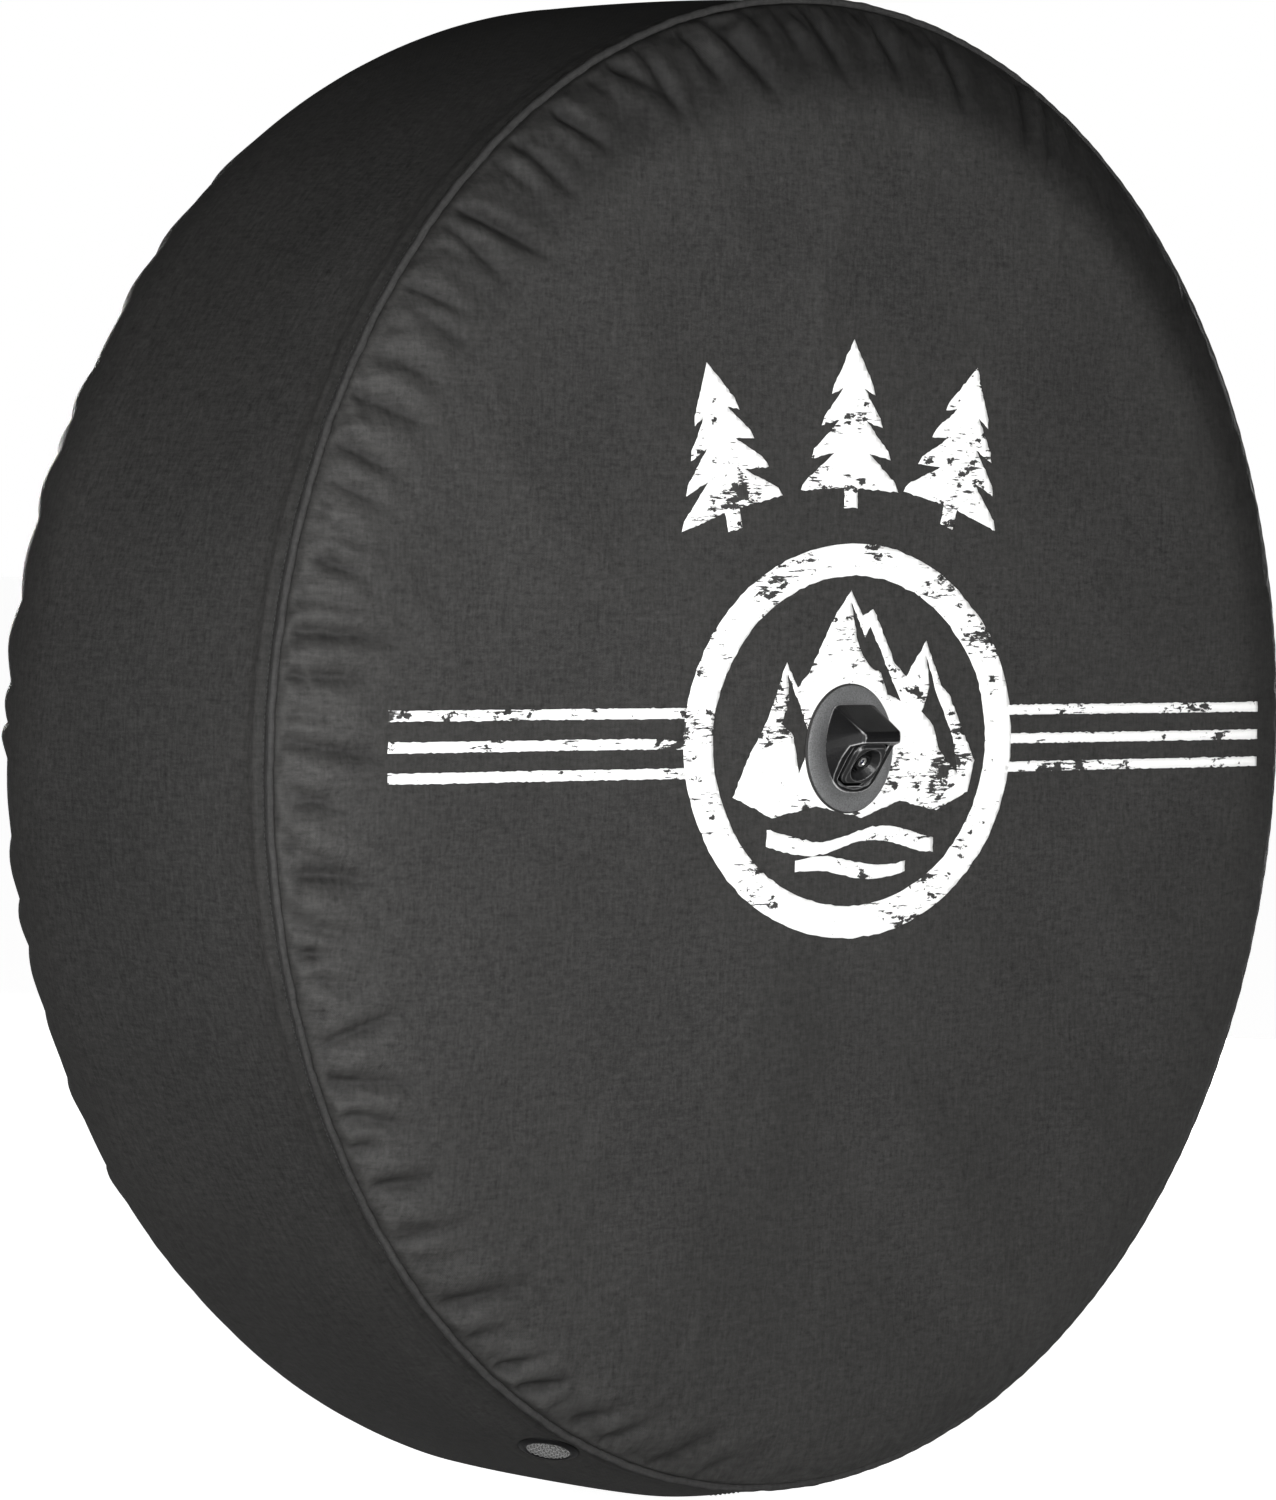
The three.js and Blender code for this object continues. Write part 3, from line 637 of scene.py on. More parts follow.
def band_points(theta, radius, y, out_radius, out_y):
    """The band's outer surface, with its stitched groove, puckers, gathers and sag."""
    behind = y - SEAM_Y
    groove = -GROOVE_DEPTH * bell(behind - STITCH_LINE, GROOVE_WIDTH)
    ridge = RIDGE_HEIGHT * bell(behind - STITCH_LINE - RIDGE_BEHIND, RIDGE_WIDTH)
    in_tread = y < SHOULDER_START_Y
    puckers = pucker_height(BAND_PUCKERS, theta, np.abs(behind - STITCH_LINE)) * in_tread
    reach = gather_reach(radius, y)
    soft = broad_waves(theta * BAND_RADIUS, y) * 0.9 * smoothstep(behind, 0.01, 0.04)
    beside = turn_from(theta, math.radians(BACK_SEAM_DEGREES)) * BAND_RADIUS
    joined = -JOIN_DEPTH * bell(beside, JOIN_WIDTH) * (1 - reach)
    height = groove + ridge + puckers + soft + joined + GATHERS.height(theta, reach)
    points = around(radius + height * out_radius, y + height * out_y, theta)
    points[..., 2] -= sag_at(theta, y)
    return points


# ---------------- the face
def face_mesh():
    rows = np.concatenate([
        np.linspace(0.0262, 0.058, 6),
        np.linspace(0.068, 0.330, 26),
        np.linspace(0.3340, 0.4060, 24),
        [0.4082, 0.4102, 0.4120, 0.4134, 0.4143, 0.4148],
    ])
    radius, turn = np.meshgrid(rows, full_circle(FACE_COLUMNS), indexing="ij")
    points = around(radius, face_y(radius), turn)
    fade = smoothstep(radius, 0.05, 0.12) * smoothstep(SEAM_RADIUS - radius, 0, 0.03)
    points[..., 1] -= broad_waves(points[..., 0], points[..., 2]) * fade
    return rows, points


def crease_face(mesh):
    """Press the creases into the finished sheet along its normals, and store painted shading: shade in
    their valleys, a highlight on their crests, and shade along the face's upper rim.
    """
    points, normals = places_of(mesh), normals_of(mesh)
    height = crease_height(FACE_CREASES, points[:, 0], points[:, 2])
    radius = np.hypot(points[:, 0], points[:, 2])
    height *= 1 - smoothstep(radius, *CREASE_END)
    outward = np.where(normals[:, 1] < 0, 1, -1)[:, None] * normals
    mesh.vertices.foreach_set("co", (points + height[:, None] * outward).ravel())
    # Painted shade in the crease valleys and a painted highlight on their crests, kept as a tone factor.
    crease_shading = np.clip(height / CREASE_FULL, -1, 1)
    crease_shading = np.where(crease_shading < 0, CREASE_PAINTED_SHADE * crease_shading, CREST_PAINTED_HIGHLIGHT * crease_shading)
    # Painted shade along the face's top and upper right rim, darker towards the seam.
    degrees = np.degrees(np.arctan2(points[:, 0], points[:, 2]))
    rim_shade = np.interp(degrees, RIM_SHADE_PLACES, RIM_SHADE_AMOUNTS) * smoothstep(radius, *RIM_SHADE_EDGE)
    store_on_points(mesh, "painted_shading", (1 + crease_shading) * (1 - rim_shade) - 1)
    mesh.update()


CANVAS_CLOTH = dict(mass=0.0004, quality=6, tension_stiffness=25, compression_stiffness=18,
                    shear_stiffness=10, bending_stiffness=0.8, shrink_min=-0.0012)


def relax_cloth(piece, pinned, former, frames=18, furthest=0.006):
    """Let the canvas settle over a former under gravity, then cap how far any point moved."""
    before = places_of(piece.data)
    group = piece.vertex_groups.new(name="sewn")
    group.add(pinned, 1.0, "REPLACE")
    cloth = piece.modifiers.new("cloth", "CLOTH")
    cloth.settings.vertex_group_mass = group.name
    for name, value in CANVAS_CLOTH.items():
        setattr(cloth.settings, name, value)
    cloth.collision_settings.distance_min = 0.0012
    former.modifiers.new("collision", "COLLISION")
    former.collision.thickness_outer = 0.0008
    scene = bpy.context.scene
    scene.frame_start = 1
    scene.frame_end = frames
    for step in range(1, frames + 1):
        scene.frame_set(step)
    settled(piece)
    scene.frame_set(1)
    move = places_of(piece.data) - before
    length = np.linalg.norm(move, axis=1, keepdims=True)
    after = before + move * np.minimum(1, furthest / np.maximum(length, 1e-9))
    piece.data.vertices.foreach_set("co", after.ravel())
    piece.data.update()


def tire_former():
    """A smooth dome a little under the face, for the canvas to lie against."""
    rows, columns, gap = 60, 180, 0.0035
    radius, turn = np.meshgrid(np.linspace(0.001, 0.4125, rows), full_circle(columns), indexing="ij")
    points = around(radius, face_y(radius) + gap, turn)
    return new_object("former", new_mesh("former", points, grid_faces(rows, columns)))


def make_face():
    rows, points = face_mesh()
    faces = grid_faces(len(rows), FACE_COLUMNS)
    piece = add_piece("canvas_face", points, faces, CANVAS, cloth=points[..., [0, 2]])
    former = tire_former()
    at_port = range(3 * FACE_COLUMNS)
    at_seam = range((len(rows) - 2) * FACE_COLUMNS, len(rows) * FACE_COLUMNS)
    relax_cloth(piece, [*at_port, *at_seam], former)
    bpy.data.objects.remove(former)
    smooth = piece.modifiers.new("fine", "SUBSURF")
    smooth.levels = 1
    settled(piece)
    crease_face(piece.data)
    outer = piece.data.copy()
    thicken(piece, CLOTH)
    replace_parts(piece, "face_panel")
    return piece, outer


# ---------------- the band, hem and seam
def drain_frame():
    """Centre of the drain eyelet and its outward direction, from the CAD node."""
    corners = places_of(frame["nodes"]["drain_washer"].data)
    centre = corners.mean(axis=0)
    axis = np.linalg.svd(corners - centre)[2][2]
    outward = np.array([centre[0], 0, centre[2]])
    if axis @ outward < 0:
        axis = -axis
    return centre + axis * DRAIN_LIFT, axis


def press_round_drain(points, centre, axis):
    """Flatten the canvas under the drain's ring: the points, and how far each is beside its axis."""
    offset = points - centre
    height = offset @ axis
    beside = np.linalg.norm(offset - height[..., None] * axis, axis=-1)
    here = np.abs(height) < DRAIN_NEAR
    flat = here * (1 - smoothstep(beside, DRAIN_FLAT, DRAIN_FREE))
    target = np.minimum(height, DRAIN_SEAT)
    bulge = DRAIN_BULGE * bell(beside - DRAIN_BULGE_RADIUS, 0.003) * here
    return points + (flat * (target - height) + bulge)[..., None] * axis, beside


def make_band():
    radius, y, out_radius, out_y = band_profile()
    theta = full_circle(BAND_COLUMNS)
    columns = [a[:, None] for a in (radius, y, out_radius, out_y)]
    points = band_points(theta[None, :], *columns)
    centre, axis = drain_frame()
    points, beside = press_round_drain(points, centre, axis)
    along = np.concatenate([[0], np.cumsum(np.hypot(np.diff(radius), np.diff(y)))])
    cloth = np.stack(np.meshgrid(along, theta * BAND_RADIUS, indexing="ij"), axis=-1)[..., ::-1]
    faces = grid_faces(len(radius), BAND_COLUMNS)
    hole = (beside.ravel() < DRAIN_HOLE)[faces].all(axis=1)
    hole &= (np.linalg.norm(points - centre, axis=-1).ravel() < DRAIN_REACH)[faces].all(axis=1)
    piece = add_piece("canvas_band", points, faces[~hole], CANVAS, cloth=cloth)
    thicken(piece, CLOTH)
    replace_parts(piece, "side_band")
    return piece


def make_hem():
    """The sewn channel over the elastic: a soft roll with a fold at each gather."""
    fold = GATHERS.height(full_circle(BAND_COLUMNS), np.ones(BAND_COLUMNS))
    fold -= fold.mean()
    folded = (HEM_RADIUS, HEM_Y + 0.3 * fold, HEM_TUBE + 0.25 * fold)
    channel = add_ring("canvas_hem", "rear_hem", *folded, 16, BAND_COLUMNS, CANVAS, "canvas")
    size = (HEM_RADIUS, HEM_Y, ELASTIC_RADIUS)
    add_ring("hem_elastic", "elastic_cord", *size, 10, 360, ELASTIC, "elastic")
    return channel


def make_piping():
    """The bead on the seam: bias tape drawn tight over a cord, with a faint lengthwise twist."""
    columns = 1200
    theta = full_circle(columns)
    drift = 0.12 * MM * (np.sin(37 * theta) + np.sin(83 * theta + 2) + 0.7 * np.sin(151 * theta + 4))
    tight = BEAD * (1 + 0.04 * np.sin(211 * theta) + 0.03 * np.sin(97 * theta + 1))
    twisted = (BEAD_RADIUS + drift, BEAD_Y + 0.6 * drift, tight)
    sleeve = add_ring("piping_bead", "piping_sleeve", *twisted, 14, columns, TAPE, "bias_tape")
    size = (BEAD_RADIUS, BEAD_Y, CORE_RADIUS)
    add_ring("piping_cord", "piping_core", *size, 8, 360, ELASTIC, "elastic")
    return sleeve


def make_stitches(name, places, along, out, length, thickness):
    """One arched bit of thread at each place, lying along the surface."""
    along = along / np.linalg.norm(along, axis=1, keepdims=True)
    side = np.cross(out, along)
    side /= np.linalg.norm(side, axis=1, keepdims=True)
    stations = np.array([-0.5, -0.38, -0.15, 0.15, 0.38, 0.5])
    rise = np.array([-1.6, -0.3, 0.35, 0.35, -0.3, -1.6]) * thickness
    size = np.array([0.5, 0.9, 1, 1, 0.9, 0.5]) * thickness
    turn = full_circle(6)
    sideways = size[:, None] * np.cos(turn)
    upwards = rise[:, None] + size[:, None] * np.sin(turn)
    lengthways = np.broadcast_to(stations[:, None] * length, sideways.shape)
    points = (
        places[:, None, None, :]
        + lengthways[None, ..., None] * along[:, None, None, :]
        + sideways[None, ..., None] * side[:, None, None, :]
        + upwards[None, ..., None] * out[:, None, None, :]
    )
    tube = grid_faces(len(stations), len(turn)).tolist()
    per = len(stations) * len(turn)
    caps = [list(range(len(turn)))[::-1], list(range(per - len(turn), per))]
    faces = [[v + per * k for v in face] for k in range(len(places)) for face in tube + caps]
    return add_piece(name, points, faces, THREAD)


def ring_of_stitches(name, radius, y, out_radius, out_y, pitch):
    """Stitches all the way round, at one row of the band."""
    count = int(2 * np.pi * radius / pitch)
    theta = full_circle(count)
    places = band_points(theta, radius, y, out_radius, out_y)
    along = around(np.ones(count), 0, theta + np.pi / 2)
    out = around(np.full(count, out_radius), out_y, theta)
    return make_stitches(name, places, along, out, pitch * STITCH_SHARE, 0.00042)


def make_ring_stitches():
    """The row behind the front seam and the row beside the hem."""
    row_y = SEAM_Y + STITCH_LINE
    hem_row = HEM_RADIUS + HEM_TUBE + 0.004
    seam = ring_of_stitches("seam_stitches", tread_radius(row_y), row_y, 1, 0, STITCH_PITCH)
    hem = ring_of_stitches("hem_stitches", hem_row, REAR_Y, 0, 1, HEM_STITCH_PITCH)
    return seam, hem


def make_join_stitches():
    """Two rows of stitches beside the seam where the band's ends meet."""
    y = np.arange(SEAM_Y + 0.012, SHOULDER_START_Y - 0.004, JOIN_STITCH_PITCH)
    places, out = [], []
    for side in (-JOIN_ROW, JOIN_ROW):
        theta = np.full(len(y), math.radians(BACK_SEAM_DEGREES) + side / BAND_RADIUS)
        places.append(band_points(theta, tread_radius(y), y, 1, 0))
        out.append(around(1, 0, theta))
    places, out = np.concatenate(places), np.concatenate(out)
    along = np.broadcast_to([0.0, 1.0, 0.0], places.shape)
    return make_stitches("join_stitches", places, along, out, JOIN_STITCH_LENGTH, 0.0004)


# ---------------- the print
INK_THICKNESS = 0.00012
INK_PROUD = 0.0002                       # the ink's surface stands this far before the canvas
BADGE_CENTRE = np.array([0.0041, 0.0041])
BADGE_HALF = (0.1371, 0.1103)            # half the width and height of the ring, outside
RING_HALF = (0.1141, 0.0923)             # and inside
STRIPE_HEIGHTS = (0.0206, 0.0041, -0.0121)
STRIPE_HALF = 0.0029
STRIPE_ENDS = (-0.354, 0.374)
TREES = ((-0.107, 0.166, 15), (-0.002, 0.181, 0), (0.093, 0.170, -15))     # x, z and tilt
TREE_SIZE = (0.094, 0.082, 4)            # height, width and tiers of boughs
PORT_RADIUS = 0.034                      # no ink under the camera's flange


def ellipse(centre, half_width, half_height, count):
    turn = full_circle(count)
    return np.stack([centre[0] + half_width * np.cos(turn), centre[1] + half_height * np.sin(turn)], -1)


def tree_outline(height, width, tiers):
    """A pine: a trunk, and stacked boughs that widen downwards with drooping tips."""
    trunk, foot = 0.07 * width, 0.12 * height
    right = [(trunk, 0), (trunk, foot)]
    for tier in range(tiers):
        low = foot + (height - foot) * tier / (tiers + 0.6)
        high = foot + (height - foot) * (tier + 1.25) / (tiers + 0.6)
        reach = 0.5 * width * (1 - 0.72 * tier / tiers)
        right += [(reach, low - 0.02 * height), (reach * 0.93, low + 0.035 * height)]
        right += [(reach * 0.36, high - 0.03 * height)]
    right[-1] = (0.0, height)
    left = [(-x, z) for x, z in right[-2::-1]]
    return np.array(right + left)


def placed(outline, centre, degrees):
    """An outline turned about its middle and moved to a centre."""
    middle = (outline.max(axis=0) + outline.min(axis=0)) / 2
    c, s = math.cos(math.radians(degrees)), math.sin(math.radians(degrees))
    return (outline - middle) @ np.array([[c, s], [-s, c]]) + np.array(centre)


def rough_edge(outline, seed, spacing=0.0022, depth=0.00055):
    """Points along an outline, close together and a little ragged, as in a coarse print."""
    draw = random.Random(seed)
    ragged = []
    for start, end in zip(outline, np.roll(outline, -1, axis=0)):
        step = end - start
        length = np.linalg.norm(step)
        across = np.array([-step[1], step[0]]) / max(length, 1e-9)
        count = max(1, int(length / spacing))
        for k in range(count):
            shift = draw.uniform(-1, 1) * depth * (draw.random() < 0.55)
            ragged.append(start + step * k / count + across * shift)
    return np.array(ragged)


def fill_outline(outlines):
    """Triangles that fill outlines; an outline inside another one is a hole."""
    spacing = 0.004
    points, edges = [], []
    for outline in outlines:
        first = len(points)
        points += [Vector(p) for p in outline]
        edges += [(first + k, first + (k + 1) % len(outline)) for k in range(len(outline))]
    low = np.min([o.min(axis=0) for o in outlines], axis=0)
    high = np.max([o.max(axis=0) for o in outlines], axis=0)
    for x in np.arange(low[0], high[0], spacing):
        points += [Vector((x, z)) for z in np.arange(low[1], high[1], spacing)]
    made = delaunay_2d_cdt(points, edges, [], 0, 1e-7)
    corners, triangles = np.array(made[0]), np.array(made[2])
    middles = corners[triangles].mean(axis=1)
    inside = np.zeros(len(middles), bool)
    for outline in outlines:
        for a, b in zip(outline, np.roll(outline, -1, axis=0)):
            crosses = (a[1] > middles[:, 1]) != (b[1] > middles[:, 1])
            with np.errstate(divide="ignore", invalid="ignore"):
                meets = (b[0] - a[0]) * (middles[:, 1] - a[1]) / (b[1] - a[1]) + a[0]
            inside ^= crosses & (middles[:, 0] < meets)
    kept = triangles[inside]
    used, renumbered = np.unique(kept, return_inverse=True)
    return corners[used], renumbered.reshape(-1, 3)


def print_on(name, outlines, surface):
    """Lay a thin film of ink on the face, wherever the outlines are."""
    flat, triangles = fill_outline(outlines)
    points = []
    for x, z in flat:
        hit = surface.ray_cast(Vector((x, -1, z)), Vector((0, 1, 0)))[0]
        points.append((x, hit.y - INK_PROUD, z))
    a, b, c = np.array(points)[triangles[0]]
    if np.cross(b - a, c - a)[1] > 0:
        triangles = triangles[:, ::-1]
    piece = add_piece(name, points, triangles, INK, cloth=flat)
    return thicken(piece, INK_THICKNESS)


def mountain_outlines():
    """Three peaks over a shoreline with their shaded sides cut out, and two ripples below."""
    ridge = [(-0.098, -0.030), (-0.083, -0.004), (-0.071, 0.012), (-0.056, 0.044), (-0.047, 0.030),
             (-0.038, 0.038), (-0.020, 0.066), (-0.004, 0.084), (0.006, 0.070), (0.015, 0.074),
             (0.034, 0.043), (0.044, 0.036), (0.061, 0.056), (0.074, 0.031), (0.083, 0.024),
             (0.105, -0.012), (0.099, -0.030)]
    shore = [(0.072, -0.040), (0.040, -0.034), (0.008, -0.043), (-0.030, -0.036), (-0.066, -0.042)]
    shades = [
        [(-0.0035, 0.078), (0.008, 0.058), (0.0125, 0.064), (0.040, 0.022), (0.028, 0.026),
         (0.022, 0.038), (0.013, 0.041), (0.006, 0.048), (0.001, 0.058)],
        [(-0.055, 0.038), (-0.046, 0.022), (-0.035, 0.000), (-0.045, -0.018), (-0.050, 0.004),
         (-0.060, 0.010), (-0.054, 0.022)],
        [(0.061, 0.049), (0.070, 0.027), (0.085, 0.002), (0.091, -0.020), (0.074, -0.006),
         (0.068, 0.008), (0.058, 0.016), (0.064, 0.030)],
    ]
    ripples = []
    for z, half, lean in ((-0.056, 0.070, 0.004), (-0.071, 0.046, -0.003)):
        upper = [(x, z + 0.0042 + lean * math.sin(x * 60)) for x in np.linspace(-half, half, 25)]
        lower = [(x, z - 0.0036 + lean * math.sin(x * 60 + 0.5)) for x in np.linspace(half, -half, 25)]
        ripples.append(upper + lower)
    return [np.array(outline) + BADGE_CENTRE for outline in (ridge + shore, *shades, *ripples)]


def make_print(outer):
    corners = [v.co for v in outer.vertices]
    surface = BVHTree.FromPolygons(corners, [p.vertices for p in outer.polygons])
    for number, (x, z, degrees) in enumerate(TREES):
        outline = placed(tree_outline(*TREE_SIZE), (x, z), degrees)
        print_on(f"print_tree_{number + 1}", [rough_edge(outline, 20 + number)], surface)
    ring = [ellipse(BADGE_CENTRE, *BADGE_HALF, 200), ellipse(BADGE_CENTRE, *RING_HALF, 180)]
    print_on("print_ring", [rough_edge(o, 30 + k) for k, o in enumerate(ring)], surface)
    port = ellipse((0, 0), PORT_RADIUS, PORT_RADIUS, 60)
    scene_outlines = [rough_edge(o, 40 + k) for k, o in enumerate(mountain_outlines())]
    print_on("print_mountains", [*scene_outlines, port], surface)
    for number, height in enumerate(STRIPE_HEIGHTS):
        reach = BADGE_HALF[0] * math.sqrt(1 - ((height - BADGE_CENTRE[1]) / BADGE_HALF[1]) ** 2)
        for side, end in zip(("left", "right"), STRIPE_ENDS):
            sign = math.copysign(1, end)
            inner = BADGE_CENTRE[0] + sign * (reach - 0.001)
            low, high = height - STRIPE_HALF, height + STRIPE_HALF
            bar = np.array([(inner, low), (end, low), (end, high), (inner, high)])
            name = f"print_stripe_{side}_{number + 1}"
            print_on(name, [rough_edge(bar, 50 + 2 * number + (sign > 0), depth=0.0004)], surface)


# ---------------- hard pieces
EDGE_LEVELS = (0.02, 0.075)  # how convex, in edge lengths, where a rounded edge starts and is full
FLANGE_FALL = 1.6            # mm, how far the flange's edge lies behind its flat height
FLANGE_RISE = 1.8            # mm, how far its middle stands before it


def mark_edges(mesh, spacing):
    """Store how convex each vertex is, 0 on flat places and 1 on rounded edges, as "edge", which paints a
    highlight on plastic edges.
    """
    points = places_of(mesh)
    ends = np.array([e.vertices for e in mesh.edges])
    links = np.bincount(ends.ravel(), minlength=len(points))

    def neighbours_mean(values):
        total = np.zeros_like(values)
        np.add.at(total, ends[:, 0], values[ends[:, 1]])
        np.add.at(total, ends[:, 1], values[ends[:, 0]])
        return total / links.reshape(-1, *[1] * (values.ndim - 1))

    convex = np.einsum("ij,ij->i", points - neighbours_mean(points), normals_of(mesh)) / spacing
    for _ in range(5):
        convex = (convex + neighbours_mean(convex)) / 2
    store_on_points(mesh, "edge", smoothstep(convex, *EDGE_LEVELS))


def moulded(node, name, material, body="cover", voxel=0.0003, passes=5):
    """A piece that stands for a CAD node, with the soft edges that a moulding or a pressing has."""
    piece = new_object(name, frame["nodes"][node].data.copy())
    piece.data.materials.clear()
    piece.data.materials.append(material)
    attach(piece, body)
    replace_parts(piece, node)
    remesh = piece.modifiers.new("skin", "REMESH")
    remesh.mode = "VOXEL"
    remesh.voxel_size = voxel
    soften = piece.modifiers.new("soften", "SMOOTH")
    soften.factor = 0.5
    soften.iterations = passes
    settled(piece)
    piece.data.shade_smooth()
    mark_edges(piece.data, voxel)
    return piece


def put_in(place, points):
    """Points moved from a place's own axes to the scene's."""
    return points @ np.array(place.to_3x3()).T + np.array(place.translation)


def turned_piece(name, node, profile, place, material, body="cover", segments=160):
    """A closed (radius, distance) profile in mm, turned about a place's Y axis, for a CAD node."""
    profile = np.array(profile) * MM
    points = around(profile[:, :1], profile[:, 1:], full_circle(segments)[None, :]).reshape(-1, 3)
    faces = grid_faces(len(profile), segments, closed_rows=True)
    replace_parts(add_piece(name, put_in(place, points), faces, material, body), node)


def make_bezel():
    """The flange round the camera, a shallow cone, and the rubber lip that it sits on."""
    low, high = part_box("camera_bezel")
    radius = (high.x - low.x) / 2 / MM
    front, back = (low.y + 0.0003) / MM, (low.y + 0.0026) / MM
    edge = front + FLANGE_FALL
    rim = [(radius - 0.6 + 0.6 * math.cos(a), edge + 0.3 - 0.6 * math.sin(a))
           for a in np.radians([-30, 0, 25, 50, 75])]
    cone = [(radius - 1.2, edge - 0.5), (22, front - FLANGE_RISE)]
    flange = [(23, back), (radius - 0.3, back), *rim, *cone]
    lip = [(26, back + 0.1), (radius + 0.5, back + 0.1), (radius + 0.9, back + 0.5),
           (radius + 0.9, back + 1.2), (26, back + 1.2)]
    parts = (
        ("camera_flange", "camera_bezel", flange, GREY_PLASTIC, "grey_plastic", 256),
        ("camera_gasket", "port_gasket", lip, RUBBER, "rubber", 192),
    )
    for name, node, profile, material, slot, segments in parts:
        turned_piece(name, node, profile, Matrix.Identity(4), material, segments=segments)


def module_place():
    """Where the tilting camera module sits: its pivot, and its axes turned down to the lens."""
    joint = frame["joints"][0]
    glass = frame["nodes"]["lens_glass"].data.vertices
    centre = sum((v.co for v in glass), Vector()) / len(glass)
    pivot = Vector(joint["pos_m"])
    forward = (centre - pivot).normalized()
    down = math.atan2(-forward.z, -forward.y)
    return Matrix.Translation(pivot) @ Matrix.Rotation(down, 4, "X")


def make_lens():
    """The lens pieces as fine turned parts, in the module's own frame."""
    place = module_place()
    front = -6.5             # mm, the block's front from the pivot; the profiles start there
    turned_parts = {
        "lens_trim_ring": ("lens_trim", BLACK_METAL, "steel", [
            (6.6, 4.3), (6.6, 5.6), (5.6, 5.6), (5.6, 3.5), (5.8, 3.2), (6.1, 3.1), (6.4, 3.4)]),
        "lens_barrel": ("lens_housing", DARK_PLASTIC, "dark_plastic", [
            (4.4, 2.2), (4.9, 2.3), (5.2, 2.7), (5.2, 9.8), (3.7, 9.8), (3.7, 2.7), (4.0, 2.3)]),
        "lens_retainer": ("lens_retaining_ring", STEEL, "steel", [
            (3.3, 3.5), (3.3, 4), (1.5, 4), (1.5, 3.5), (1.8, 3.1), (2.4, 2.8), (3.0, 3.1)]),
    }
    for node, (name, material, slot, profile) in turned_parts.items():
        moved = [(r, front + d) for r, d in profile]
        turned_piece(name, node, moved, place, material, "camera_module", 96)
    moulded("lens_glass", "lens_front", GLASS, "camera_module", 0.00012, 3)


def make_drain_ring(place):
    """The pressed ring that holds the drain's screen."""
    profile = [(12.0, 1.2), (12.4, 1.9), (13.2, 2.2), (14.4, 2.0), (15.8, 1.4), (16.8, 0.8), (17.0, 0.4),
               (12.0, 0.4)]
    turned_piece("drain_ring", "drain_eyelet", profile, place, BLACK_METAL)


def screen_wire(line, upright):
    """One wire of the flat screen, over and under those that cross it: points and faces."""
    offset = line * SCREEN_PITCH
    half = math.sqrt(SCREEN_RADIUS**2 - offset**2)
    steps = max(4, int(2 * half / SCREEN_PITCH * 4))
    along = np.linspace(-half, half, steps)
    section = full_circle(6)
    height = 0.9 * SCREEN_WIRE * np.cos(np.pi * (along / SCREEN_PITCH + line + upright))
    points = np.zeros((steps, 6, 3))
    points[..., 2 * upright] = along[:, None]
    points[..., 2 - 2 * upright] = offset + SCREEN_WIRE * np.cos(section)
    points[..., 1] = height[:, None] + SCREEN_WIRE * np.sin(section)
    ends = [list(range(6)), list(range(6 * steps - 6, 6 * steps))]
    return points.reshape(-1, 3), grid_faces(steps, 6).tolist() + ends


def make_drain():
    """The drain's ring, and its round woven screen, which is slightly domed."""
    centre, axis = drain_frame()
    turn = Vector((0, 1, 0)).rotation_difference(Vector(axis)).to_matrix().to_4x4()
    place = Matrix.Translation(centre) @ turn
    make_drain_ring(place)
    most = int(SCREEN_RADIUS / SCREEN_PITCH)
    points, faces = np.zeros((0, 3)), []
    for upright in (0, 1):
        for line in range(-most, most + 1):
            wire_points, wire_faces = screen_wire(line, upright)
            faces += [[len(points) + k for k in face] for face in wire_faces]
            points = np.concatenate([points, wire_points])
    points[:, 1] += 0.0009 + 0.0016 * (1 - (np.hypot(points[:, 0], points[:, 2]) / SCREEN_RADIUS) ** 2)
    piece = add_piece("drain_screen", put_in(place, points), faces, SCREEN)
    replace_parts(piece, "drain_mesh")


def dress_cad_nodes():
    """Better materials for the CAD pieces whose shape is already right."""
    looks = {
        CANVAS: ["band_join_strip"],
        TAPE: ["inner_seam_tape", "port_binding"],
        STEEL: ["elastic_crimp", "trunnion_pin_left", "trunnion_pin_right"]
        + [f"{kind}_screw_{n}" for kind in ("clamp", "body") for n in (1, 2, 3, 4)],
        RUBBER: ["rear_seal"],
        BOARD: ["main_board", "sensor_board"],
        DARK_PLASTIC: ["retaining_ring", "image_sensor"],
        BLACK_METAL: ["drain_washer"],
        GOLD: [f"socket_pin_{n}" for n in (1, 2, 3, 4)],
    }
    for material, nodes in looks.items():
        for name in nodes:
            for slot in frame["nodes"][name].material_slots:
                slot.material = material


# ---------------- stage, lights and camera
WORLD_GLOW = 0.05            # light from the surroundings, which look white to the camera
FLOOR_GLOW = 0.066
FLOOR_SEEN = 0.93
STAGE_REACH = 30             # half the floor's side
LIGHT_DISTANCE = 3.4
SPOT_AIM = (-0.33, -0.11, -0.005)        # the front seam's left side, where the creases are
BACK_SPOT_AIM = (0.04, 0.1, 0)


def direction(azimuth, elevation):
    """Unit vector towards a place round the object. Azimuth 0 is in front of its face."""
    az, el = math.radians(azimuth), math.radians(elevation)
    return Vector((math.sin(az) * math.cos(el), -math.cos(az) * math.cos(el), math.sin(el)))


def glow(tree, dim, bright):
    """A strength that lights the scene dimly, and that the camera sees as a white sweep."""
    seen = add_node(tree, "LightPath").outputs["Is Camera Ray"]
    return between(tree, seen, 0, 1, dim, bright)


def make_stage():
    """A pale floor just under the band, bright enough to merge with the background."""
    floor_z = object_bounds()[0].z - 0.002
    material, tree, shader = new_material("floor", (0.8, 0.8, 0.8), 0.9, Emission_Color=(1, 1, 1, 1))
    drive(shader, "Emission Strength", glow(tree, FLOOR_GLOW, FLOOR_SEEN))
    signs = ((-1, -1), (1, -1), (1, 1), (-1, 1))
    corners = [(x * STAGE_REACH, y * STAGE_REACH, floor_z) for x, y in signs]
    mesh = new_mesh("floor", corners, [(0, 1, 2, 3)])
    mesh.materials.append(material)
    new_object("floor", mesh)


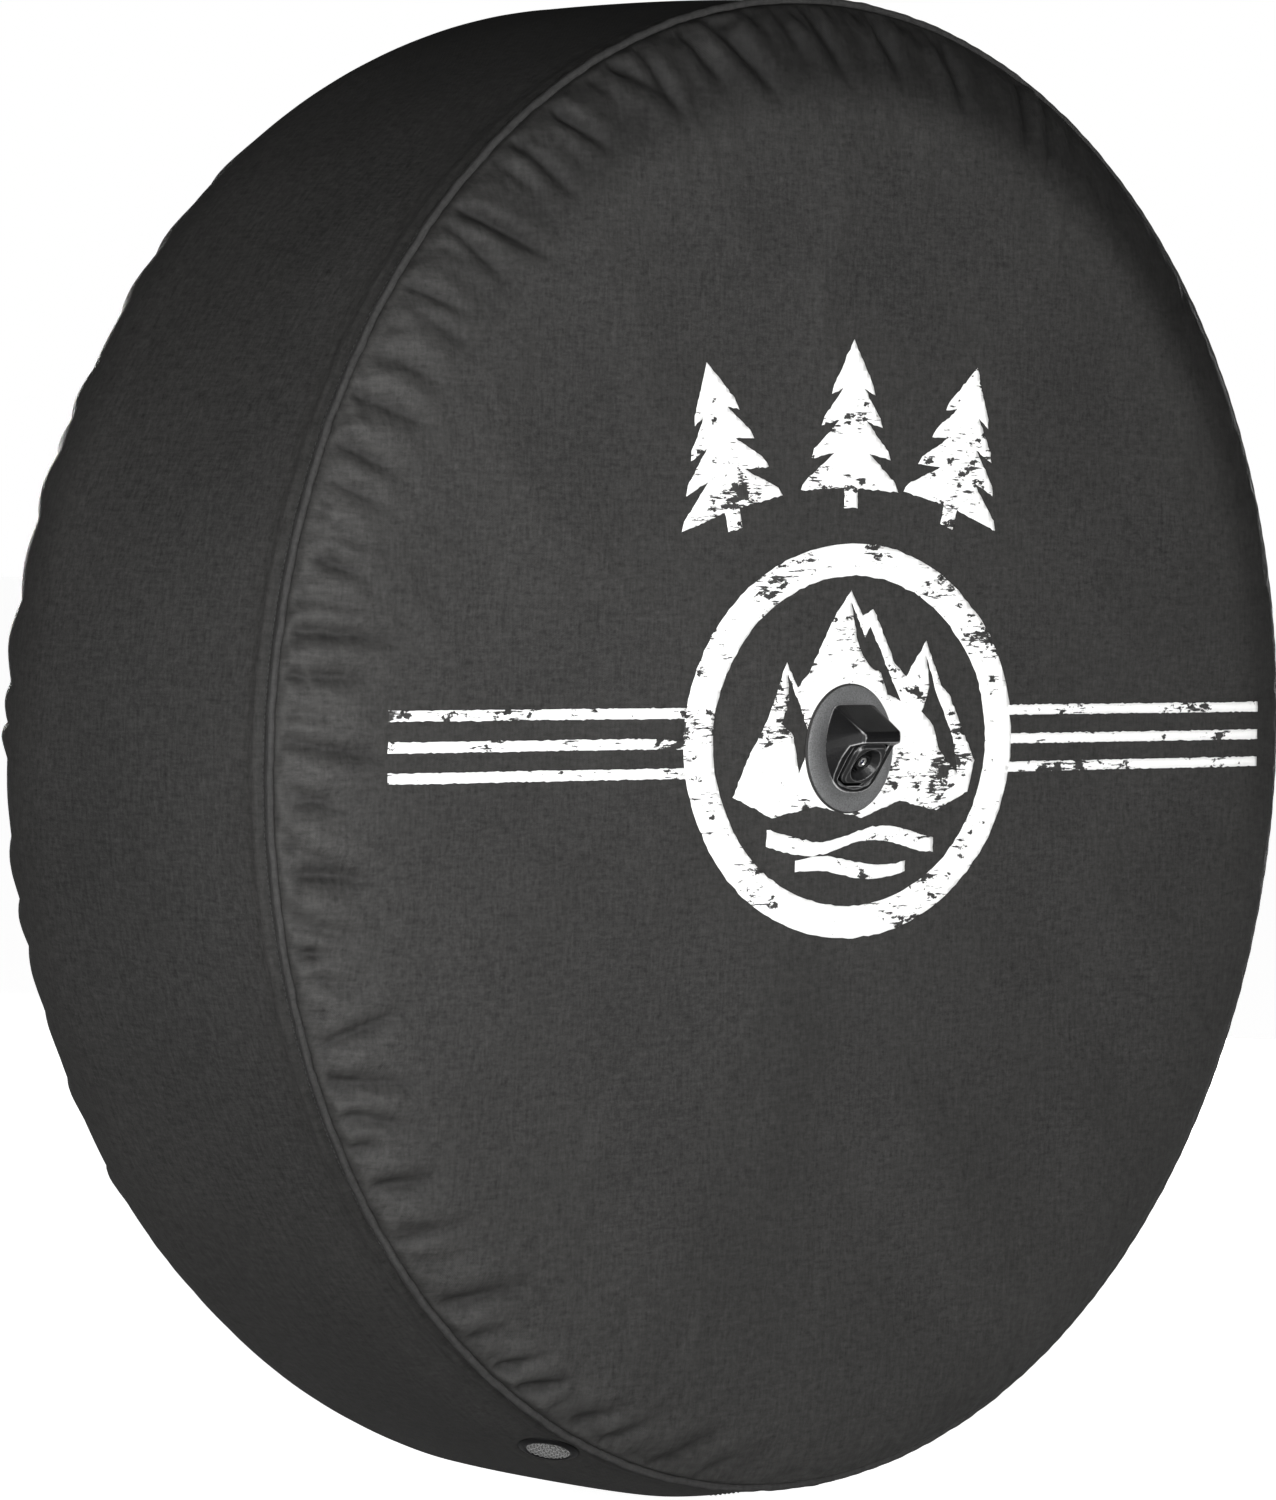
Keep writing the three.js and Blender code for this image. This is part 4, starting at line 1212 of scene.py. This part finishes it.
def add_light(kind, azimuth, elevation, power, aim=(0, 0, 0), **settings):
    """A lamp in a direction from the object's centre that shines on a point of the cover."""
    light = bpy.data.lights.new(kind.lower(), kind)
    light.energy = power
    for key, value in settings.items():
        setattr(light, key, value)
    lamp = new_object(light.name, light)
    lamp.location = direction(azimuth, elevation) * LIGHT_DISTANCE
    lamp.rotation_euler = (lamp.location - Vector(aim)).to_track_quat("Z", "Y").to_euler()


def make_lights():
    """Soft light from the left, the front and behind, in surroundings that look white."""
    world = bpy.data.worlds.new("studio")
    bpy.context.scene.world = world
    world.use_nodes = True
    background = world.node_tree.nodes["Background"]
    background.inputs["Color"].default_value = (1, 1, 1, 1)
    drive(background, "Strength", glow(world.node_tree, WORLD_GLOW, 1.0))
    spot = dict(shadow_soft_size=0.35, spot_size=math.radians(19.5), spot_blend=1)
    add_light("SPOT", -40, -1, 130, SPOT_AIM, **spot)
    add_light("SPOT", -60, -3, 290, SPOT_AIM, **spot)
    add_light("AREA", -85, -3, 53, size=1.4)
    add_light("AREA", -12, -3, 148, size=1.4)
    add_light("AREA", 122, -2, 55, size=1.6)
    narrow = dict(shadow_soft_size=0.3, spot_size=math.radians(11.5), spot_blend=0.7)
    add_light("SPOT", 150, 4, 560, BACK_SPOT_AIM, **narrow)
    bpy.context.scene.view_settings.view_transform = "Standard"


CAMERA_PLACE = (-47.83, 2.09, 3.650)     # azimuth, elevation and distance from the seam's centre
CAMERA_AIM = (-46.31, 2.157, 1.283)      # azimuth and elevation that it looks from, and its roll
LENS = 156.0


def make_camera():
    azimuth, elevation, distance = CAMERA_PLACE
    place = Vector((0, SEAM_Y, 0)) + direction(azimuth, elevation) * distance
    back = direction(*CAMERA_AIM[:2])
    right = (-back).cross(Vector((0, 0, 1))).normalized()
    up = right.cross(-back)
    roll = math.radians(CAMERA_AIM[2])
    level = right * math.cos(roll) + up * math.sin(roll)
    upright = up * math.cos(roll) - right * math.sin(roll)
    data = bpy.data.cameras.new("camera")
    data.lens = LENS
    data.clip_end = 100
    camera = new_object("camera", data)
    axes = Matrix((level, upright, back)).transposed().to_4x4()
    camera.matrix_world = Matrix.Translation(place) @ axes
    bpy.context.scene.camera = camera


# ---------------- build
make_camera()
face, face_surface = make_face()
band = make_band()
hem = make_hem()
piping = make_piping()
seam_stitches, hem_stitches = make_ring_stitches()
join_stitches = make_join_stitches()
make_print(face_surface)

make_bezel()
moulded("camera_hood", "camera_visor", DARK_PLASTIC, voxel=0.00035)
moulded("camera_body", "camera_tube", DARK_PLASTIC, voxel=0.0005)
moulded("cable_socket", "camera_socket", DARK_PLASTIC, voxel=0.0003)
moulded("mount_plate", "camera_plate", BLACK_METAL, voxel=0.0006)
moulded("lens_block", "lens_carrier", CARRIER_PLASTIC, "camera_module", 0.0003, 4)
make_lens()
make_drain()
dress_cad_nodes()

make_stage()
make_lights()
